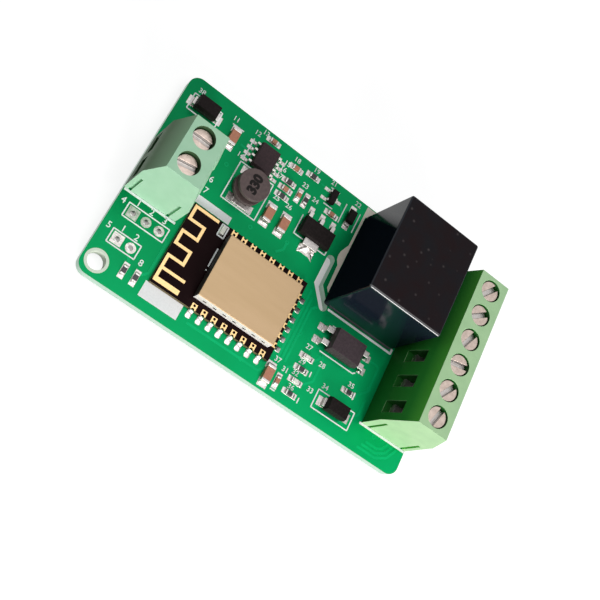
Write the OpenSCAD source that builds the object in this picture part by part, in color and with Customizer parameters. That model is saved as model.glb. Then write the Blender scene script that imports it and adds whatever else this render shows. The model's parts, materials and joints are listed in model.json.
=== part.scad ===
// Networked relay board: a wireless module that switches one sealed power relay.
// It stands on its pin tails at Z = 0 and is centred on X and Y, with the supply
// terminals at the -X end and the output terminals at the +X end.

/* [Board] */
// Thickness of the circuit board
board_t = 1.6; // [1:0.1:2.4]
// Radius of the board's corners
corner_r = 2; // [0.5:0.1:2.5]
// Diameter of the two mounting holes
hole_d = 3.2; // [2.2:0.1:4]
// Distance from a mounting hole's centre to the board's end
hole_x = 2.5; // [2.2:0.1:4]
// Distance from a mounting hole's centre to the board's side
hole_y = 2.8; // [2.2:0.1:4]
// Length of the pin tails under the board
tail_l = 2; // [1:0.1:3]
// Gap between a pin and the wall of its hole
pin_clear = 0.12; // [0.05:0.01:0.25]
// Width of the isolation slot beside the relay
slot_w = 1.7; // [1:0.1:2]
// Diameter of the open header holes
header_d = 1; // [0.8:0.05:1.3]
// Pitch of the open header holes
header_pitch = 2.54; // [2:0.01:2.6]

/* [Layout] */
// Gap between the supply block and the wireless module
module_gap = 1.2; // [1:0.1:4]
// Distance from the board's side to the wireless module
module_y = 4.7; // [4.7:0.1:8]
// Gap between the wireless module and the relay
relay_gap = 4.4; // [4:0.1:8]
// Gap between the relay and the output block
output_gap = 1; // [0.5:0.1:4]
// Distance from the board's side to the supply block
supply_y = 16; // [16:0.1:20]
// Distance from the board's side to the output block
output_y = 5.35; // [3:0.05:8]
// Least width of board past the output block
output_margin = 4.9; // [4.5:0.1:8]
// Least width of board past the relay
relay_margin = 2.3; // [1:0.1:6]
// Distance from the board's side to the output diode
diode_y = 3; // [1:0.1:5]
// Gap between the output diode and the resistor beside it
resistor_gap = 2.5; // [0.5:0.1:4]
// Gap between that resistor and the optocoupler
opto_gap = 3.4; // [2:0.1:6]
// Gap between the optocoupler and the relay
opto_relay_gap = 2.8; // [1:0.1:5]
// Gap between the wireless module and the inductor
inductor_gap = 5.1; // [4:0.1:8]
// Gap between the inductor and the regulator
regulator_gap = 1.2; // [0.8:0.1:4]
// Gaps along the top row: board's end, diode, capacitor, regulator, chips
row_gap = [2.1, 3.1, 2.9, 2.1]; // [0.5:0.1:6]
// Gap between neighbouring small chips
chip_gap = 0.75; // [0.4:0.05:2]

/* [Wireless module] */
// Length of the module's board, aerial end to pad end
module_l = 24; // [23.5:0.5:30]
// Width of the module's board
module_w = 16; // [15.5:0.5:24]
// Thickness of the module's board
module_t = 0.8; // [0.6:0.1:1.6]
// Length of the shield can
can_l = 15.4; // [14:0.1:15.6]
// Gap between the shield can and the module's long sides
can_side = 1.9; // [1.5:0.1:3]
// Height of the shield can
can_h = 2.2; // [2:0.1:4]
// Sheet thickness of the shield can
can_t = 0.2; // [0.1:0.05:0.4]
// Gap between the shield can and the module's pad end
can_end = 1.2; // [1.2:0.1:2]
// Pads along each long side
side_pads = 8; // [4:1:8]
// Pads along the end
end_pads = 6; // [2:1:6]
// Pitch of the pads
pad_pitch = 2; // [1.5:0.05:2]
// Width and length of a pad
pad = [1, 1.1]; // [0.5:0.05:1.1]
// Thickness of the pads and of the aerial trace
foil_t = 0.06; // [0.04:0.01:0.15]
// Width of the aerial trace
trace_w = 0.55; // [0.3:0.05:0.8]
// Reach of the aerial's folds from the module's end
fold_l = 3.5; // [2:0.1:4.5]

/* [Relay] */
// Width of the relay
relay_w = 15.4; // [14:0.1:20]
// Length of the relay
relay_l = 19.1; // [18:0.1:24]
// Height of the relay
relay_h = 15.4; // [14:0.1:20]
// Wall of the relay's case
relay_wall = 0.8; // [0.5:0.1:1]
// Thickness of the relay's base plate
relay_base_t = 1.2; // [0.8:0.1:2]
// Width and thickness of a relay pin
relay_pin = [1, 0.6]; // [0.4:0.1:1.2]
// Thickness of the iron yoke and the armature
iron_t = 1.2; // [0.8:0.1:1.5]
// Width of the iron yoke and the armature
iron_w = 8; // [6:0.1:9]
// Radius of the iron core
core_r = 2; // [1.2:0.1:2.2]
// Radius of the pole on top of the core
pole_r = 3.4; // [2.8:0.1:4]
// Radius of the bobbin's flanges
flange_r = 4.5; // [4:0.1:4.8]
// Thickness of the bobbin's flanges
flange_t = 0.7; // [0.4:0.1:1]
// Gap between the pole and the armature at rest
pole_gap = 0.75; // [0.7:0.05:1.2]
// Travel allowed between the two fixed contacts
contact_gap = 1.15; // [1.1:0.05:1.6]
// Radius of the contacts
contact_r = 1; // [0.6:0.1:1.2]
// Thickness of the moving blade
blade_t = 0.3; // [0.1:0.05:0.5]

/* [Terminal blocks] */
// Pitch of the terminals
pitch = 5.08; // [5:0.01:6]
// Terminals of the supply block
supply_poles = 2; // [1:1:2]
// Terminals of the output block
output_poles = 6; // [2:1:6]
// Depth of a block, wire side to board side
block_d = 10; // [9.6:0.1:12]
// Height of a block
block_h = 14.5; // [13.8:0.1:18]
// Height at which the wire side starts to lean in
front_knee = 8.5; // [7:0.1:11]
// How far the wire side leans in
front_lean = 1.8; // [1:0.1:2.2]
// Height at which the board side starts to lean in
rear_knee = 6; // [4:0.1:9]
// How far the board side leans in
rear_lean = 2.1; // [1:0.1:2.4]
// Extra wall at each end of a block
end_wall = 0.1; // [0:0.05:0.5]
// Distance from the wire side to the screw's axis
screw_d = 4.5; // [4.3:0.1:4.8]
// How much further in the output screws sit than the supply screws
output_inset = 0.45; // [0:0.05:0.6]
// Diameter of the screw's head
head_d = 3.6; // [3.5:0.1:4]
// Height of the screw's head
head_h = 1.4; // [1:0.1:2]
// Depth of the screw heads below the top of the supply block and of the output block
head_recess = [1, 0.3]; // [0.2:0.1:1.4]
// Diameter of the screw's shank
shank_d = 3; // [2:0.1:3.2]
// Width and depth of the screwdriver slot
driver_slot = [0.9, 0.8]; // [0.4:0.1:1]
// Width across the clamp
clamp_w = 4; // [3.8:0.05:4.1]
// Depth of the clamp, front to back
clamp_l = 4.6; // [4:0.1:4.8]
// Wall of the clamp
clamp_wall = 0.5; // [0.4:0.05:0.6]
// Thickness of the clamp's jaw and of its threaded top
clamp_t = [0.8, 1.2]; // [0.6:0.1:1.4]
// Height of the open mouth of a clamp
mouth_h = 3; // [2.6:0.1:3.4]
// How far a clamp rises
clamp_travel = 2.4; // [1.5:0.1:2.4]
// Width and height of a wire entry
entry = [3.8, 2.8]; // [2:0.1:4]
// Width of the windows on the board side
window_w = 2.3; // [1.5:0.1:3]
// Bottom and top of the windows on the board side
window_z = [5.15, 10]; // [4:0.05:10]
// Width and thickness of a contact strip
strip = [2.4, 0.8]; // [0.6:0.1:2.6]
// Width of the pin below a contact strip
leg_w = 1.2; // [0.8:0.1:1.6]
// Floor of the block under a clamp
floor_t = 1.4; // [1:0.1:2]
// Width, depth and height of the keying grooves
groove = [0.5, 0.4, 5.8]; // [0.2:0.1:8]

/* [Clearances] */
// Gap round a sliding clamp
slide_fit = 0.1; // [0.05:0.01:0.2]
// Gap round a screw's shank in its clamp
thread_fit = 0.05; // [0.02:0.01:0.1]
// Gap round a screw's head in its well
head_fit = 0.15; // [0.1:0.01:0.25]
// Gap between fixed pieces that are fitted together
seat_fit = 0.03; // [0.01:0.01:0.1]
// Gap kept where moving pieces come closest
stop_gap = 0.1; // [0.05:0.01:0.15]

/* [Small parts] */
// Size of a large chip and length of its end cap
big_chip = [3.2, 1.6, 1, 0.5]; // [0.3:0.1:3.6]
// Size of a small chip and length of its end cap
small_chip = [1.6, 0.8, 0.5, 0.35]; // [0.2:0.05:2]
// Regulator body: across its leads, along them, height
regulator = [3.9, 4.9, 1.5]; // [1:0.1:6]
// Low-dropout regulator body: along its leads, across them, height
ldo = [6.5, 3.5, 1.6]; // [1:0.1:7]
// Transistor body: across its leads, along them, height
transistor = [1.3, 2.9, 1]; // [0.8:0.1:3.2]
// Optocoupler body: across its leads, along them, height
opto = [6.4, 4.5, 2.6]; // [2:0.1:7]
// Power diode body: length, width, height
power_diode = [4.3, 2.6, 2.1]; // [1:0.1:5]
// Coil diode body: length, width, height
coil_diode = [2.7, 1.6, 1.1]; // [0.8:0.1:3]
// Diameter of the inductor's drum
drum_d = 5.8; // [5:0.1:6.4]
// Height of the inductor
drum_h = 3.4; // [2.5:0.1:6]
// Thickness of the inductor's flanges
drum_flange = 0.8; // [0.4:0.1:1]
// Width of a regulator or transistor lead
lead_w = 0.42; // [0.3:0.02:0.6]
// Width of an optocoupler lead
opto_lead_w = 1.1; // [0.6:0.1:1.4]
// Thickness of the formed leads
lead_t = 0.2; // [0.1:0.02:0.3]
// Gap between a leaded body and the board
stand_off = 0.15; // [0.05:0.05:0.3]

/* [Hidden] */
$fn = 64;

// Overrun of a cut past the face that it opens
cut = 0.5;

// Terminal blocks, in a frame with X inwards from the wire side, Y along the block, Z up from the board
chamber_d0 = screw_d - clamp_l / 2 - slide_fit;
chamber_d1 = screw_d + clamp_l / 2 + slide_fit;
chamber_w = clamp_w + 2 * slide_fit;
clamp_z = floor_t + stop_gap;
strip_z = clamp_z + clamp_t[0] + mouth_h;
clamp_top_z = strip_z + strip[1] + stop_gap;
clamp_h = clamp_top_z + clamp_t[1] - clamp_z;
chamber_top = clamp_z + clamp_h + clamp_travel + stop_gap;
// The two rows of terminals, as places in a list
supply = 0;
output = 1;
pole_inset = [0, output_inset];
head_z = [for (depth = head_recess) block_h - depth - head_h];
screw_tip_z = strip_z + strip[1] + 2 * stop_gap;
neck_r = shank_d / 2 + head_fit;
strip_web = 0.3;
entry_z = strip_z - strip_web - entry[1];
strip_seat = 0.8;
strip_d0 = chamber_d0 - strip_seat;
leg_wall = 0.5;
leg_d = chamber_d1 + leg_wall + strip[1] / 2;
leg_hole_r = norm([strip[1], leg_w]) / 2 + pin_clear;
groove_inset = 0.85;
// Turn at which each screw's slot was left
supply_turn = [10, 0];
output_turn = [107, 123, 168, 114, 142, 128];
function block_w(poles) = poles * pitch + 2 * end_wall;
function pole_y(i) = end_wall + pitch * (i + 0.5);

// Relay, in a frame at the middle of its footprint, with Y towards the yoke and Z up from the board
inner_w = relay_w / 2 - relay_wall;
inner_l = relay_l / 2 - relay_wall;
yoke_edge = 0.9;
yoke_y1 = inner_l - yoke_edge;
yoke_y0 = yoke_y1 - iron_t;
bobbin_gap = 0.3;
core_y = yoke_y0 - bobbin_gap - flange_r;
common_y = yoke_y1 - iron_t / 2;
coil_pin_step = 2;
coil_pin_y = common_y - coil_pin_step;
pin_edge = 0.9;
pin_x = inner_w - pin_edge;
contact_edge = 1.8;
contact_y = -(inner_l - contact_edge);
button_t = 0.4;
arm_t = 0.6;
lid_gap = 0.7;
pole_t = 0.6;
tube_wall = 0.8;
// The coil takes up what is left of the relay's height
throw_h = button_t + stop_gap + button_t + arm_t;
coil_h = relay_h - relay_wall - lid_gap - throw_h - blade_t - iron_t - pole_gap - pole_t
         - 2 * flange_t - iron_t - relay_base_t;
bobbin_z = relay_base_t + iron_t;
pole_z = bobbin_z + 2 * flange_t + coil_h;
armature_z = pole_z + pole_t + pole_gap;
blade_z = armature_z + iron_t;
upper_z = blade_z + blade_t + button_t + stop_gap;
lower_z = blade_z - button_t - contact_gap;
blade_w = 3;
blade_edge = 0.4;
coil_post_h = 2.5;
relay_pin_at = [[0, common_y], [pin_x, coil_pin_y], [-pin_x, coil_pin_y],
                [pin_x, contact_y], [-pin_x, contact_y]];
relay_hole_r = norm(relay_pin) / 2 + pin_clear;

// Reach of the leads past their bodies
regulator_reach = 1.05;
ldo_reach = 1.75;
opto_reach = 1.8;
transistor_reach = 0.65;
tab_reach = 0.45;
regulator_span = regulator.x + 2 * regulator_reach;
opto_span = opto.x + 2 * opto_reach;
diode_span = power_diode.x + 2 * tab_reach;

// Places on the board, from the corner beside the first mounting hole
module_x = block_d + module_gap;
module_x1 = module_x + module_l;
module_y1 = module_y + module_w;
inductor_y = module_y1 + inductor_gap + drum_d / 2;
regulator_y = inductor_y + drum_d / 2 + regulator_gap + regulator.y / 2;
supply_diode_x = row_gap[0] + diode_span / 2;
supply_cap_x = supply_diode_x + diode_span / 2 + row_gap[1] + big_chip.y / 2;
regulator_x = supply_cap_x + big_chip.y / 2 + row_gap[2] + regulator_span / 2;
chips_x = regulator_x + regulator_span / 2 + row_gap[3] + small_chip.x / 2;
chip_step = small_chip.y + chip_gap;
filter_gap = 1.6;
filter_x = regulator_x + drum_d / 2 + filter_gap + big_chip.y / 2;
filter_step = big_chip.y + filter_gap;
ldo_side = 1.2;
ldo_clear = 3.95;
ldo_room = filter_x + filter_step + big_chip.y / 2 + ldo_side + ldo.x + ldo_clear;
relay_x = max(module_x1 + relay_gap, ldo_room);
output_x = relay_x + relay_w + output_gap;
board_l = output_x + block_d;
output_diode_y = diode_y + power_diode.y / 2;
feed_resistor_y = output_diode_y + power_diode.y / 2 + resistor_gap + small_chip.y / 2;
opto_y = feed_resistor_y + small_chip.y / 2 + opto_gap + opto.y / 2;
relay_y = opto_y + opto.y / 2 + opto_relay_gap;
top_chip_y = regulator_y + regulator.y / 2 + 2 * chip_gap + small_chip.y / 2;
top_margin = 0.7;
board_w = max(relay_y + relay_l + relay_margin,
              output_y + block_w(output_poles) + output_margin,
              top_chip_y + small_chip.y / 2 + top_margin);
board_top = tail_l + board_t;
relay_at = [relay_x + relay_w / 2, relay_y + relay_l / 2];

mount_holes = [[hole_x, hole_y], [board_l - hole_x, board_w - hole_y]];
header_x = 3.5;
signal_header_gap = 3.05;
boot_header_gap = 5.2;
signal_header_y = supply_y - signal_header_gap;
boot_header_y = signal_header_y - boot_header_gap;
header_holes = concat([for (i = [0 : 2]) [header_x + i * header_pitch, signal_header_y]],
                      [for (i = [0 : 1]) [header_x + i * header_pitch, boot_header_y]]);
supply_pins = [for (i = [0 : supply_poles - 1]) [leg_d, supply_y + pole_y(i)]];
output_pins = [for (i = [0 : output_poles - 1]) [board_l - leg_d - output_inset, output_y + pole_y(i)]];
relay_pins = [for (p = relay_pin_at) relay_at + p];

// The isolation slot runs beside the relay and round its corner
slot_side = 2.3;
slot_top = 7.9;
slot_bend = 2.7;
slot_end = [0.35, -0.45];
slot_path = [[relay_x - slot_side, relay_y + slot_top], [relay_x - slot_side, relay_y + slot_bend],
             [relay_x + slot_end.x, relay_y + slot_end.y]];

// Larger surface parts: each keeps a gap or an offset from the part that it serves
supply_diode_rise = 1;
ldo_rise = 0.8;
ldo_x = relay_x - ldo_clear - ldo.x / 2;
ldo_y = inductor_y + ldo_rise;
transistor_gap = 4.95;
transistor_shift = 0.2;
transistor_at = [ldo_x - transistor_shift, ldo_y + ldo.y / 2 + transistor_gap + transistor.y / 2];
coil_diode_gap = 1.9;
coil_diode_drop = 1.1;
coil_diode_at = [relay_x - coil_diode_gap - coil_diode.y / 2, transistor_at.y - coil_diode_drop];
output_diode_gap = 3.4;
output_diode_x = output_x - output_diode_gap - diode_span / 2;
opto_inset = 2;
opto_x = relay_x + opto_inset + opto_span / 2;

// Chips: place, and turn of the long side from X
filter_drop = 1.4;
filter_y = inductor_y - filter_drop;
chips_drop = 0.3;
chips_y = regulator_y - chips_drop;
signal_drop = 1.3;
signal_x = chips_x + small_chip.x / 2 + small_chip.y / 2 + 2 * chip_gap;
signal_y = regulator_y - signal_drop;
edge_row_y = regulator_y + regulator.y / 2 + chip_gap + small_chip.y / 2;
led_inset = 1;
led_edge = 1.9;
led_gap = 1.6;
led_x = relay_x + led_inset + small_chip.x / 2;
led_y = led_edge + small_chip.y / 2;
led_step = small_chip.y + led_gap;
feed_gap = 4;
feed_x = output_x - feed_gap - small_chip.x / 2;
output_cap_gap = 2.5;
output_cap_edge = 1.35;
output_cap_x = relay_x - output_cap_gap - big_chip.y / 2;
output_cap_y = output_cap_edge + big_chip.x / 2;
bypass_x = relay_x - chip_gap - small_chip.y / 2;
ldo_cap_gap = 3.2;
ldo_cap_shift = 1.1;
ldo_cap_y = ldo_y + ldo.y / 2 + ldo_cap_gap + small_chip.y / 2;
corner_chip = [6.9, 3.95];
corner_chip_gap = 1.4;
corner_chip_x2 = corner_chip.x + small_chip.y + corner_chip_gap;

big_caps = [[supply_cap_x, regulator_y, 90], [filter_x, filter_y, 90], [filter_x + filter_step, filter_y, 90],
            [output_cap_x, output_cap_y, 90]];
small_caps = [[chips_x, chips_y + 2 * chip_step, 0], [chips_x, chips_y - chip_step, 0],
              [signal_x, signal_y, 90], [bypass_x, output_cap_y, 90],
              [ldo_x + ldo_cap_shift, ldo_cap_y, 0], [regulator_x, top_chip_y, 0]];
resistors = [[chips_x, chips_y, 0], [chips_x, chips_y - 2 * chip_step, 0],
             [signal_x + chip_step, signal_y, 90], [signal_x + chip_gap, edge_row_y, 0],
             [led_x, led_y, 0], [led_x, led_y + 2 * led_step, 0], [feed_x, feed_resistor_y, 0],
             [corner_chip.x, corner_chip.y, 90], [corner_chip_x2, corner_chip.y, 90]];
leds = [[led_x, led_y + led_step, 0], [led_x, led_y + 3 * led_step, 0]];

// Pads of the wireless module: place on its edge, turn that faces outwards, and reach of the solder
pad_row_end = 1.6;
function pad_x(i) = module_l - pad_row_end - i * pad_pitch;
function end_pad_y(i) = module_w / 2 + (i - (end_pads - 1) / 2) * pad_pitch;
// Solder at a pad: height at the pad and at its far end, and reach on the near and the far side of the module
fillet_h = [0.55, 0.08];
fillet_reach = [1.4, 0.3];
pad_places = concat([for (i = [0 : side_pads - 1]) [pad_x(i), 0, -90, fillet_reach[0]]],
                    [for (i = [0 : side_pads - 1]) [pad_x(i), module_w, 90, fillet_reach[1]]],
                    [for (i = [0 : end_pads - 1]) [module_l, end_pad_y(i), 0, fillet_reach[0]]]);
notch_r = 0.3;
pad_hole_r = 0.25;
pad_hole_in = 0.75;
can_x = module_l - can_end - can_l;
can_w = module_w - 2 * can_side;
can_gap = 0.6;
crystal = [2.5, 3.2, 0.8];
wifi_die = [5, 5, 0.9];
flash = [3.9, 4.9, 1.5];
trace_edge = 0.2;
stub_l = 4.9;
ground_w = 0.9;
ground_y = 0.5;
feed_y = 2.85;
fold_y = 5.25;
folds = 4;
fold_step = (module_w - trace_edge - trace_w - fold_y) / folds;
module_led_gap = 0.7;
module_led_edge = 1.4;

supply_names = [for (i = [1 : supply_poles]) each [str("supply_screw_", i), str("supply_clamp_", i)]];
output_names = [for (i = [1 : output_poles]) each [str("output_screw_", i), str("output_clamp_", i)]];

// Frames: the board's corner at its top face, the module's corner, the relay's middle, a block's end
module on_board() translate([-board_l / 2, -board_w / 2, board_top]) children();
module on_module() on_board() translate([module_x, module_y, 0]) children();
module on_relay() on_board() translate([relay_at.x, relay_at.y, 0]) children();
module on_supply() on_board() translate([0, supply_y, 0]) children();
module on_output() on_board() translate([board_l, output_y, 0]) mirror([1, 0, 0]) children();

// A box centred on X and Y that stands on Z = 0
module block(size) translate([-size.x / 2, -size.y / 2, 0]) cube(size);

// An outline in X and Z, drawn w wide along Y and centred on it
module side_profile(w, points)
    rotate([90, 0, 0]) translate([0, 0, -w / 2]) linear_extrude(w) polygon(points);

// The board: a plate with its holes and the isolation slot
module rounded_rect(l, w, r) {
    translate([r, 0]) square([l - 2 * r, w]);
    translate([0, r]) square([l, w - 2 * r]);
    for (x = [r, l - r], y = [r, w - r]) translate([x, y]) circle(r);
}
module drill(p, r) translate([p.x, p.y, -board_t - cut]) cylinder(r = r, h = board_t + 2 * cut);
function around(p, r, turn) = p + r * [cos(turn), sin(turn)];
// The slot's outline: half a circle round each end of its path, and a mitre on each side of the bend
module slot_outline() {
    a = slot_path[0];
    b = slot_path[1];
    c = slot_path[2];
    turn = [atan2(b.y - a.y, b.x - a.x), atan2(c.y - b.y, c.x - b.x)];
    bend = turn[1] - turn[0];
    mitre = around([0, 0], slot_w / 2 / cos(bend / 2), turn[0] + bend / 2 + 90);
    polygon(concat([for (t = [90 : 15 : 270]) around(a, slot_w / 2, turn[0] + t)], [b - mitre],
                   [for (t = [-90 : 15 : 90]) around(c, slot_w / 2, turn[1] + t)], [b + mitre]));
}
module circuit_board() color("#0a9a52") on_board() difference() {
    translate([0, 0, -board_t]) linear_extrude(board_t) rounded_rect(board_l, board_w, corner_r);
    for (p = mount_holes) drill(p, hole_d / 2);
    for (p = header_holes) drill(p, header_d / 2);
    for (p = concat(supply_pins, output_pins)) drill(p, leg_hole_r);
    for (p = relay_pins) drill(p, relay_hole_r);
    translate([0, 0, -board_t - cut]) linear_extrude(board_t + 2 * cut) slot_outline();
}

// The solder under the board, one cone round each pin tail
solder_rim = 0.5;
solder_top = 0.2;
solder_bare = 0.4;
module solder_cone(p, section, hole_r) translate([p.x, p.y, -board_t]) mirror([0, 0, 1]) difference() {
    cylinder(r1 = hole_r + solder_rim, r2 = norm(section) / 2 + solder_top, h = tail_l - solder_bare);
    translate([0, 0, -cut]) block([section.x, section.y, tail_l + 2 * cut]);
}
module solder_joints() color("silver") on_board() {
    for (p = concat(supply_pins, output_pins)) solder_cone(p, [strip[1], leg_w], leg_hole_r);
    for (p = relay_pins) solder_cone(p, relay_pin, relay_hole_r);
}

// The wireless module: a small board with notched pads on three sides
module at_pads() for (p = pad_places) translate([p[0], p[1], 0]) rotate(p[2]) {
    $reach = p[3];
    children();
}
module wifi_board() color("#1c1a1a") on_module() difference() {
    cube([module_l, module_w, module_t]);
    at_pads() translate([0, 0, -cut]) cylinder(r = notch_r, h = module_t + 2 * cut);
}
module wifi_pads() color("#d8b25a") on_module() translate([0, 0, module_t]) at_pads() difference() {
    translate([-pad[1], -pad[0] / 2, 0]) cube([pad[1], pad[0], foil_t]);
    translate([0, 0, -cut]) cylinder(r = notch_r, h = 2 * cut);
    translate([-pad_hole_in, 0, -cut]) cylinder(r = pad_hole_r, h = 2 * cut);
}
module wifi_solder() color("silver") on_module() at_pads()
    side_profile(pad[0], [[0, 0], [$reach, 0], [$reach, fillet_h[1]], [0, fillet_h[0]]]);

// The aerial: a ground stub and a feed stub on one spine, then a run of square folds
module wifi_antenna() color("#e0b870") on_module() translate([0, 0, module_t]) linear_extrude(foil_t) {
    translate([trace_edge, ground_y]) square([stub_l, ground_w]);
    translate([trace_edge, feed_y]) square([stub_l, trace_w]);
    translate([trace_edge, ground_y]) square([trace_w, fold_y + trace_w - ground_y]);
    for (i = [0 : folds])
        translate([trace_edge, fold_y + i * fold_step]) square([i == folds ? stub_l : fold_l, trace_w]);
    for (i = [0 : folds - 1])
        translate([i % 2 == 0 ? trace_edge + fold_l - trace_w : trace_edge, fold_y + i * fold_step])
            square([trace_w, fold_step + trace_w]);
}

// The shield can, open below, with the chips that it covers
module in_can(size, x)
    on_module() translate([can_x + can_t + x, (module_w - size.y) / 2, module_t]) cube(size);
module shield_can() color("#c9a878") on_module() translate([can_x + can_l / 2, module_w / 2, module_t])
    difference() {
        block([can_l, can_w, can_h]);
        translate([0, 0, -cut]) block([can_l - 2 * can_t, can_w - 2 * can_t, can_h - can_t + cut]);
    }
module crystal_can() color("silver") in_can(crystal, can_gap);
module wifi_chip() color("#202020") in_can(wifi_die, 2 * can_gap + crystal.x);
module flash_chip() color("#202020") in_can(flash, 3 * can_gap + crystal.x + wifi_die.x);
module module_led() color("#e8e0c0") on_module()
    translate([can_x - module_led_gap - small_chip.y / 2, module_w - module_led_edge, module_t])
        rotate(90) block([small_chip.x, small_chip.y, small_chip.z]);

// The relay's case, open below, and the base plate that closes it
module relay_case() color("#181818") on_relay() difference() {
    block([relay_w, relay_l, relay_h]);
    translate([0, 0, -cut]) block([2 * inner_w, 2 * inner_l, relay_h - relay_wall + cut]);
}
module relay_base() color("#303030") on_relay() difference() {
    block([2 * (inner_w - seat_fit), 2 * (inner_l - seat_fit), relay_base_t]);
    for (p = relay_pin_at) translate([p.x, p.y, -cut])
        block([relay_pin.x + 2 * seat_fit, relay_pin.y + 2 * seat_fit, relay_base_t + 2 * cut]);
}
module relay_post(p, top) translate([p.x, p.y, -board_t - tail_l])
    block([relay_pin.x, relay_pin.y, board_t + tail_l + top]);

// The coil on its bobbin, round an iron core that stands in the yoke's foot
module relay_bobbin() color("#e6e2d0") on_relay() translate([0, core_y, bobbin_z]) difference() {
    union() {
        cylinder(r = flange_r, h = flange_t);
        cylinder(r = core_r + tube_wall, h = 2 * flange_t + coil_h);
        translate([0, 0, flange_t + coil_h]) cylinder(r = flange_r, h = flange_t);
    }
    translate([0, 0, -cut]) cylinder(r = core_r + seat_fit, h = 2 * flange_t + coil_h + 2 * cut);
}
module relay_coil() color("#b06a35") on_relay() translate([0, core_y, bobbin_z + flange_t]) difference() {
    cylinder(r = flange_r - bobbin_gap, h = coil_h);
    translate([0, 0, -cut]) cylinder(r = core_r + tube_wall + seat_fit, h = coil_h + 2 * cut);
}
module relay_core() color("#8a8a90") on_relay() translate([0, core_y, relay_base_t]) {
    cylinder(r = core_r, h = pole_z - relay_base_t);
    translate([0, 0, pole_z - relay_base_t]) cylinder(r = pole_r, h = pole_t);
}
module relay_coil_pins() color("silver") on_relay()
    for (i = [1, 2]) relay_post(relay_pin_at[i], relay_base_t + coil_post_h);

// The yoke: a foot under the coil and a wall whose top edge carries the armature
module relay_yoke() color("#9a9a9e") on_relay() {
    difference() {
        translate([-iron_w / 2, core_y - pole_r, relay_base_t])
            cube([iron_w, yoke_y1 - core_y + pole_r, iron_t]);
        translate([0, core_y, relay_base_t - cut]) cylinder(r = core_r + seat_fit, h = iron_t + 2 * cut);
    }
    translate([-iron_w / 2, yoke_y0, relay_base_t])
        cube([iron_w, iron_t, armature_z - stop_gap - relay_base_t]);
    relay_post(relay_pin_at[0], relay_base_t);
}

// The armature and the contact blade on its back, which rock together on the yoke's edge
module relay_armature() color("#a5a5aa") on_relay()
    translate([-iron_w / 2, core_y - pole_r - blade_edge, armature_z])
        cube([iron_w, yoke_y1 - core_y + pole_r + blade_edge, iron_t]);
module relay_blade() color("#c58a4a") on_relay() {
    translate([-blade_w / 2, contact_y - contact_r - blade_edge, blade_z])
        cube([blade_w, yoke_y0 - contact_y + contact_r + blade_edge, blade_t]);
    translate([0, contact_y, blade_z - button_t]) cylinder(r = contact_r, h = blade_t + 2 * button_t);
}

// The fixed contacts: a post through the base, an arm over or under the blade, and its button
module fixed_contact(side, arm_z, button_z) {
    reach = pin_x + relay_pin.x / 2;
    relay_post([side * pin_x, contact_y], arm_z);
    translate([side > 0 ? -contact_r : -reach, contact_y - contact_r, arm_z])
        cube([reach + contact_r, 2 * contact_r, arm_t]);
    translate([0, contact_y, button_z]) cylinder(r = contact_r, h = button_t);
}
module relay_upper_contact() color("#c8a060") on_relay() fixed_contact(1, upper_z + button_t, upper_z);
module relay_lower_contact() color("#c8a060") on_relay()
    fixed_contact(-1, lower_z - button_t - arm_t, lower_z - button_t);

// The contact strip of one terminal, and its pin down to the board
module strip_bar(foot) {
    translate([strip_d0, -strip[0] / 2, strip_z]) cube([leg_d + strip[1] / 2 - strip_d0, strip[0], strip[1]]);
    translate([leg_d - strip[1] / 2, -leg_w / 2, foot]) cube([strip[1], leg_w, strip_z - foot]);
}
module contact_row(poles, row) for (i = [0 : poles - 1]) at_pole(i, row) strip_bar(-board_t - tail_l);

// What one terminal takes out of its block: screw well, clamp chamber, wire entry, window and strip seat
module pole_cut(row) {
    ledge_z = head_z[row] - stop_gap;
    translate([screw_d, 0, ledge_z]) cylinder(r = head_d / 2 + head_fit, h = block_h);
    translate([screw_d, 0, chamber_top - cut]) cylinder(r = neck_r, h = ledge_z - chamber_top + 2 * cut);
    translate([chamber_d0, -chamber_w / 2, floor_t])
        cube([chamber_d1 - chamber_d0, chamber_w, chamber_top - floor_t]);
    translate([-block_d, -entry[0] / 2, entry_z]) cube([block_d + chamber_d0 + cut, entry[0], entry[1]]);
    translate([chamber_d1 - cut, -window_w / 2, window_z[0]])
        cube([block_d, window_w, window_z[1] - window_z[0]]);
    strip_bar(-cut);
}
// A block: its leaning profile drawn along the poles, keyed to a neighbour by grooves and ribs
module block_housing(poles, row) {
    w = block_w(poles);
    key_d = [chamber_d0 - groove_inset - groove[0] / 2, block_d - rear_lean + groove[0]];
    difference() {
        union() {
            translate([0, w / 2, 0]) side_profile(w, [[0, 0], [0, front_knee], [front_lean, block_h],
                [block_d - rear_lean, block_h], [block_d, rear_knee], [block_d, 0]]);
            for (d = key_d) translate([d - groove[0] / 2 + seat_fit, w, 0])
                cube([groove[0] - 2 * seat_fit, groove[1] - seat_fit, groove[2]]);
        }
        for (d = key_d) translate([d - groove[0] / 2, -cut, -cut])
            cube([groove[0], groove[1] + cut, groove[2] + cut]);
        for (i = [0 : poles - 1]) at_pole(i, row) pole_cut(row);
    }
}
module supply_block() color("#9fd8b4") on_supply() block_housing(supply_poles, supply);
module output_block() color("#7cc46a") on_output() block_housing(output_poles, output);
module supply_contacts() color("silver") on_supply() contact_row(supply_poles, supply);
module output_contacts() color("silver") on_output() contact_row(output_poles, output);

// One slotted screw, held between its ledge and its clamp
module terminal_screw(turn, row) translate([screw_d, 0, 0]) rotate(turn) difference() {
    union() {
        translate([0, 0, head_z[row]]) cylinder(r = head_d / 2, h = head_h);
        translate([0, 0, screw_tip_z]) cylinder(r = shank_d / 2, h = head_z[row] - screw_tip_z);
    }
    translate([0, 0, head_z[row] + head_h - driver_slot[1]])
        block([head_d + cut, driver_slot[0], driver_slot[1] + cut]);
}
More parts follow.
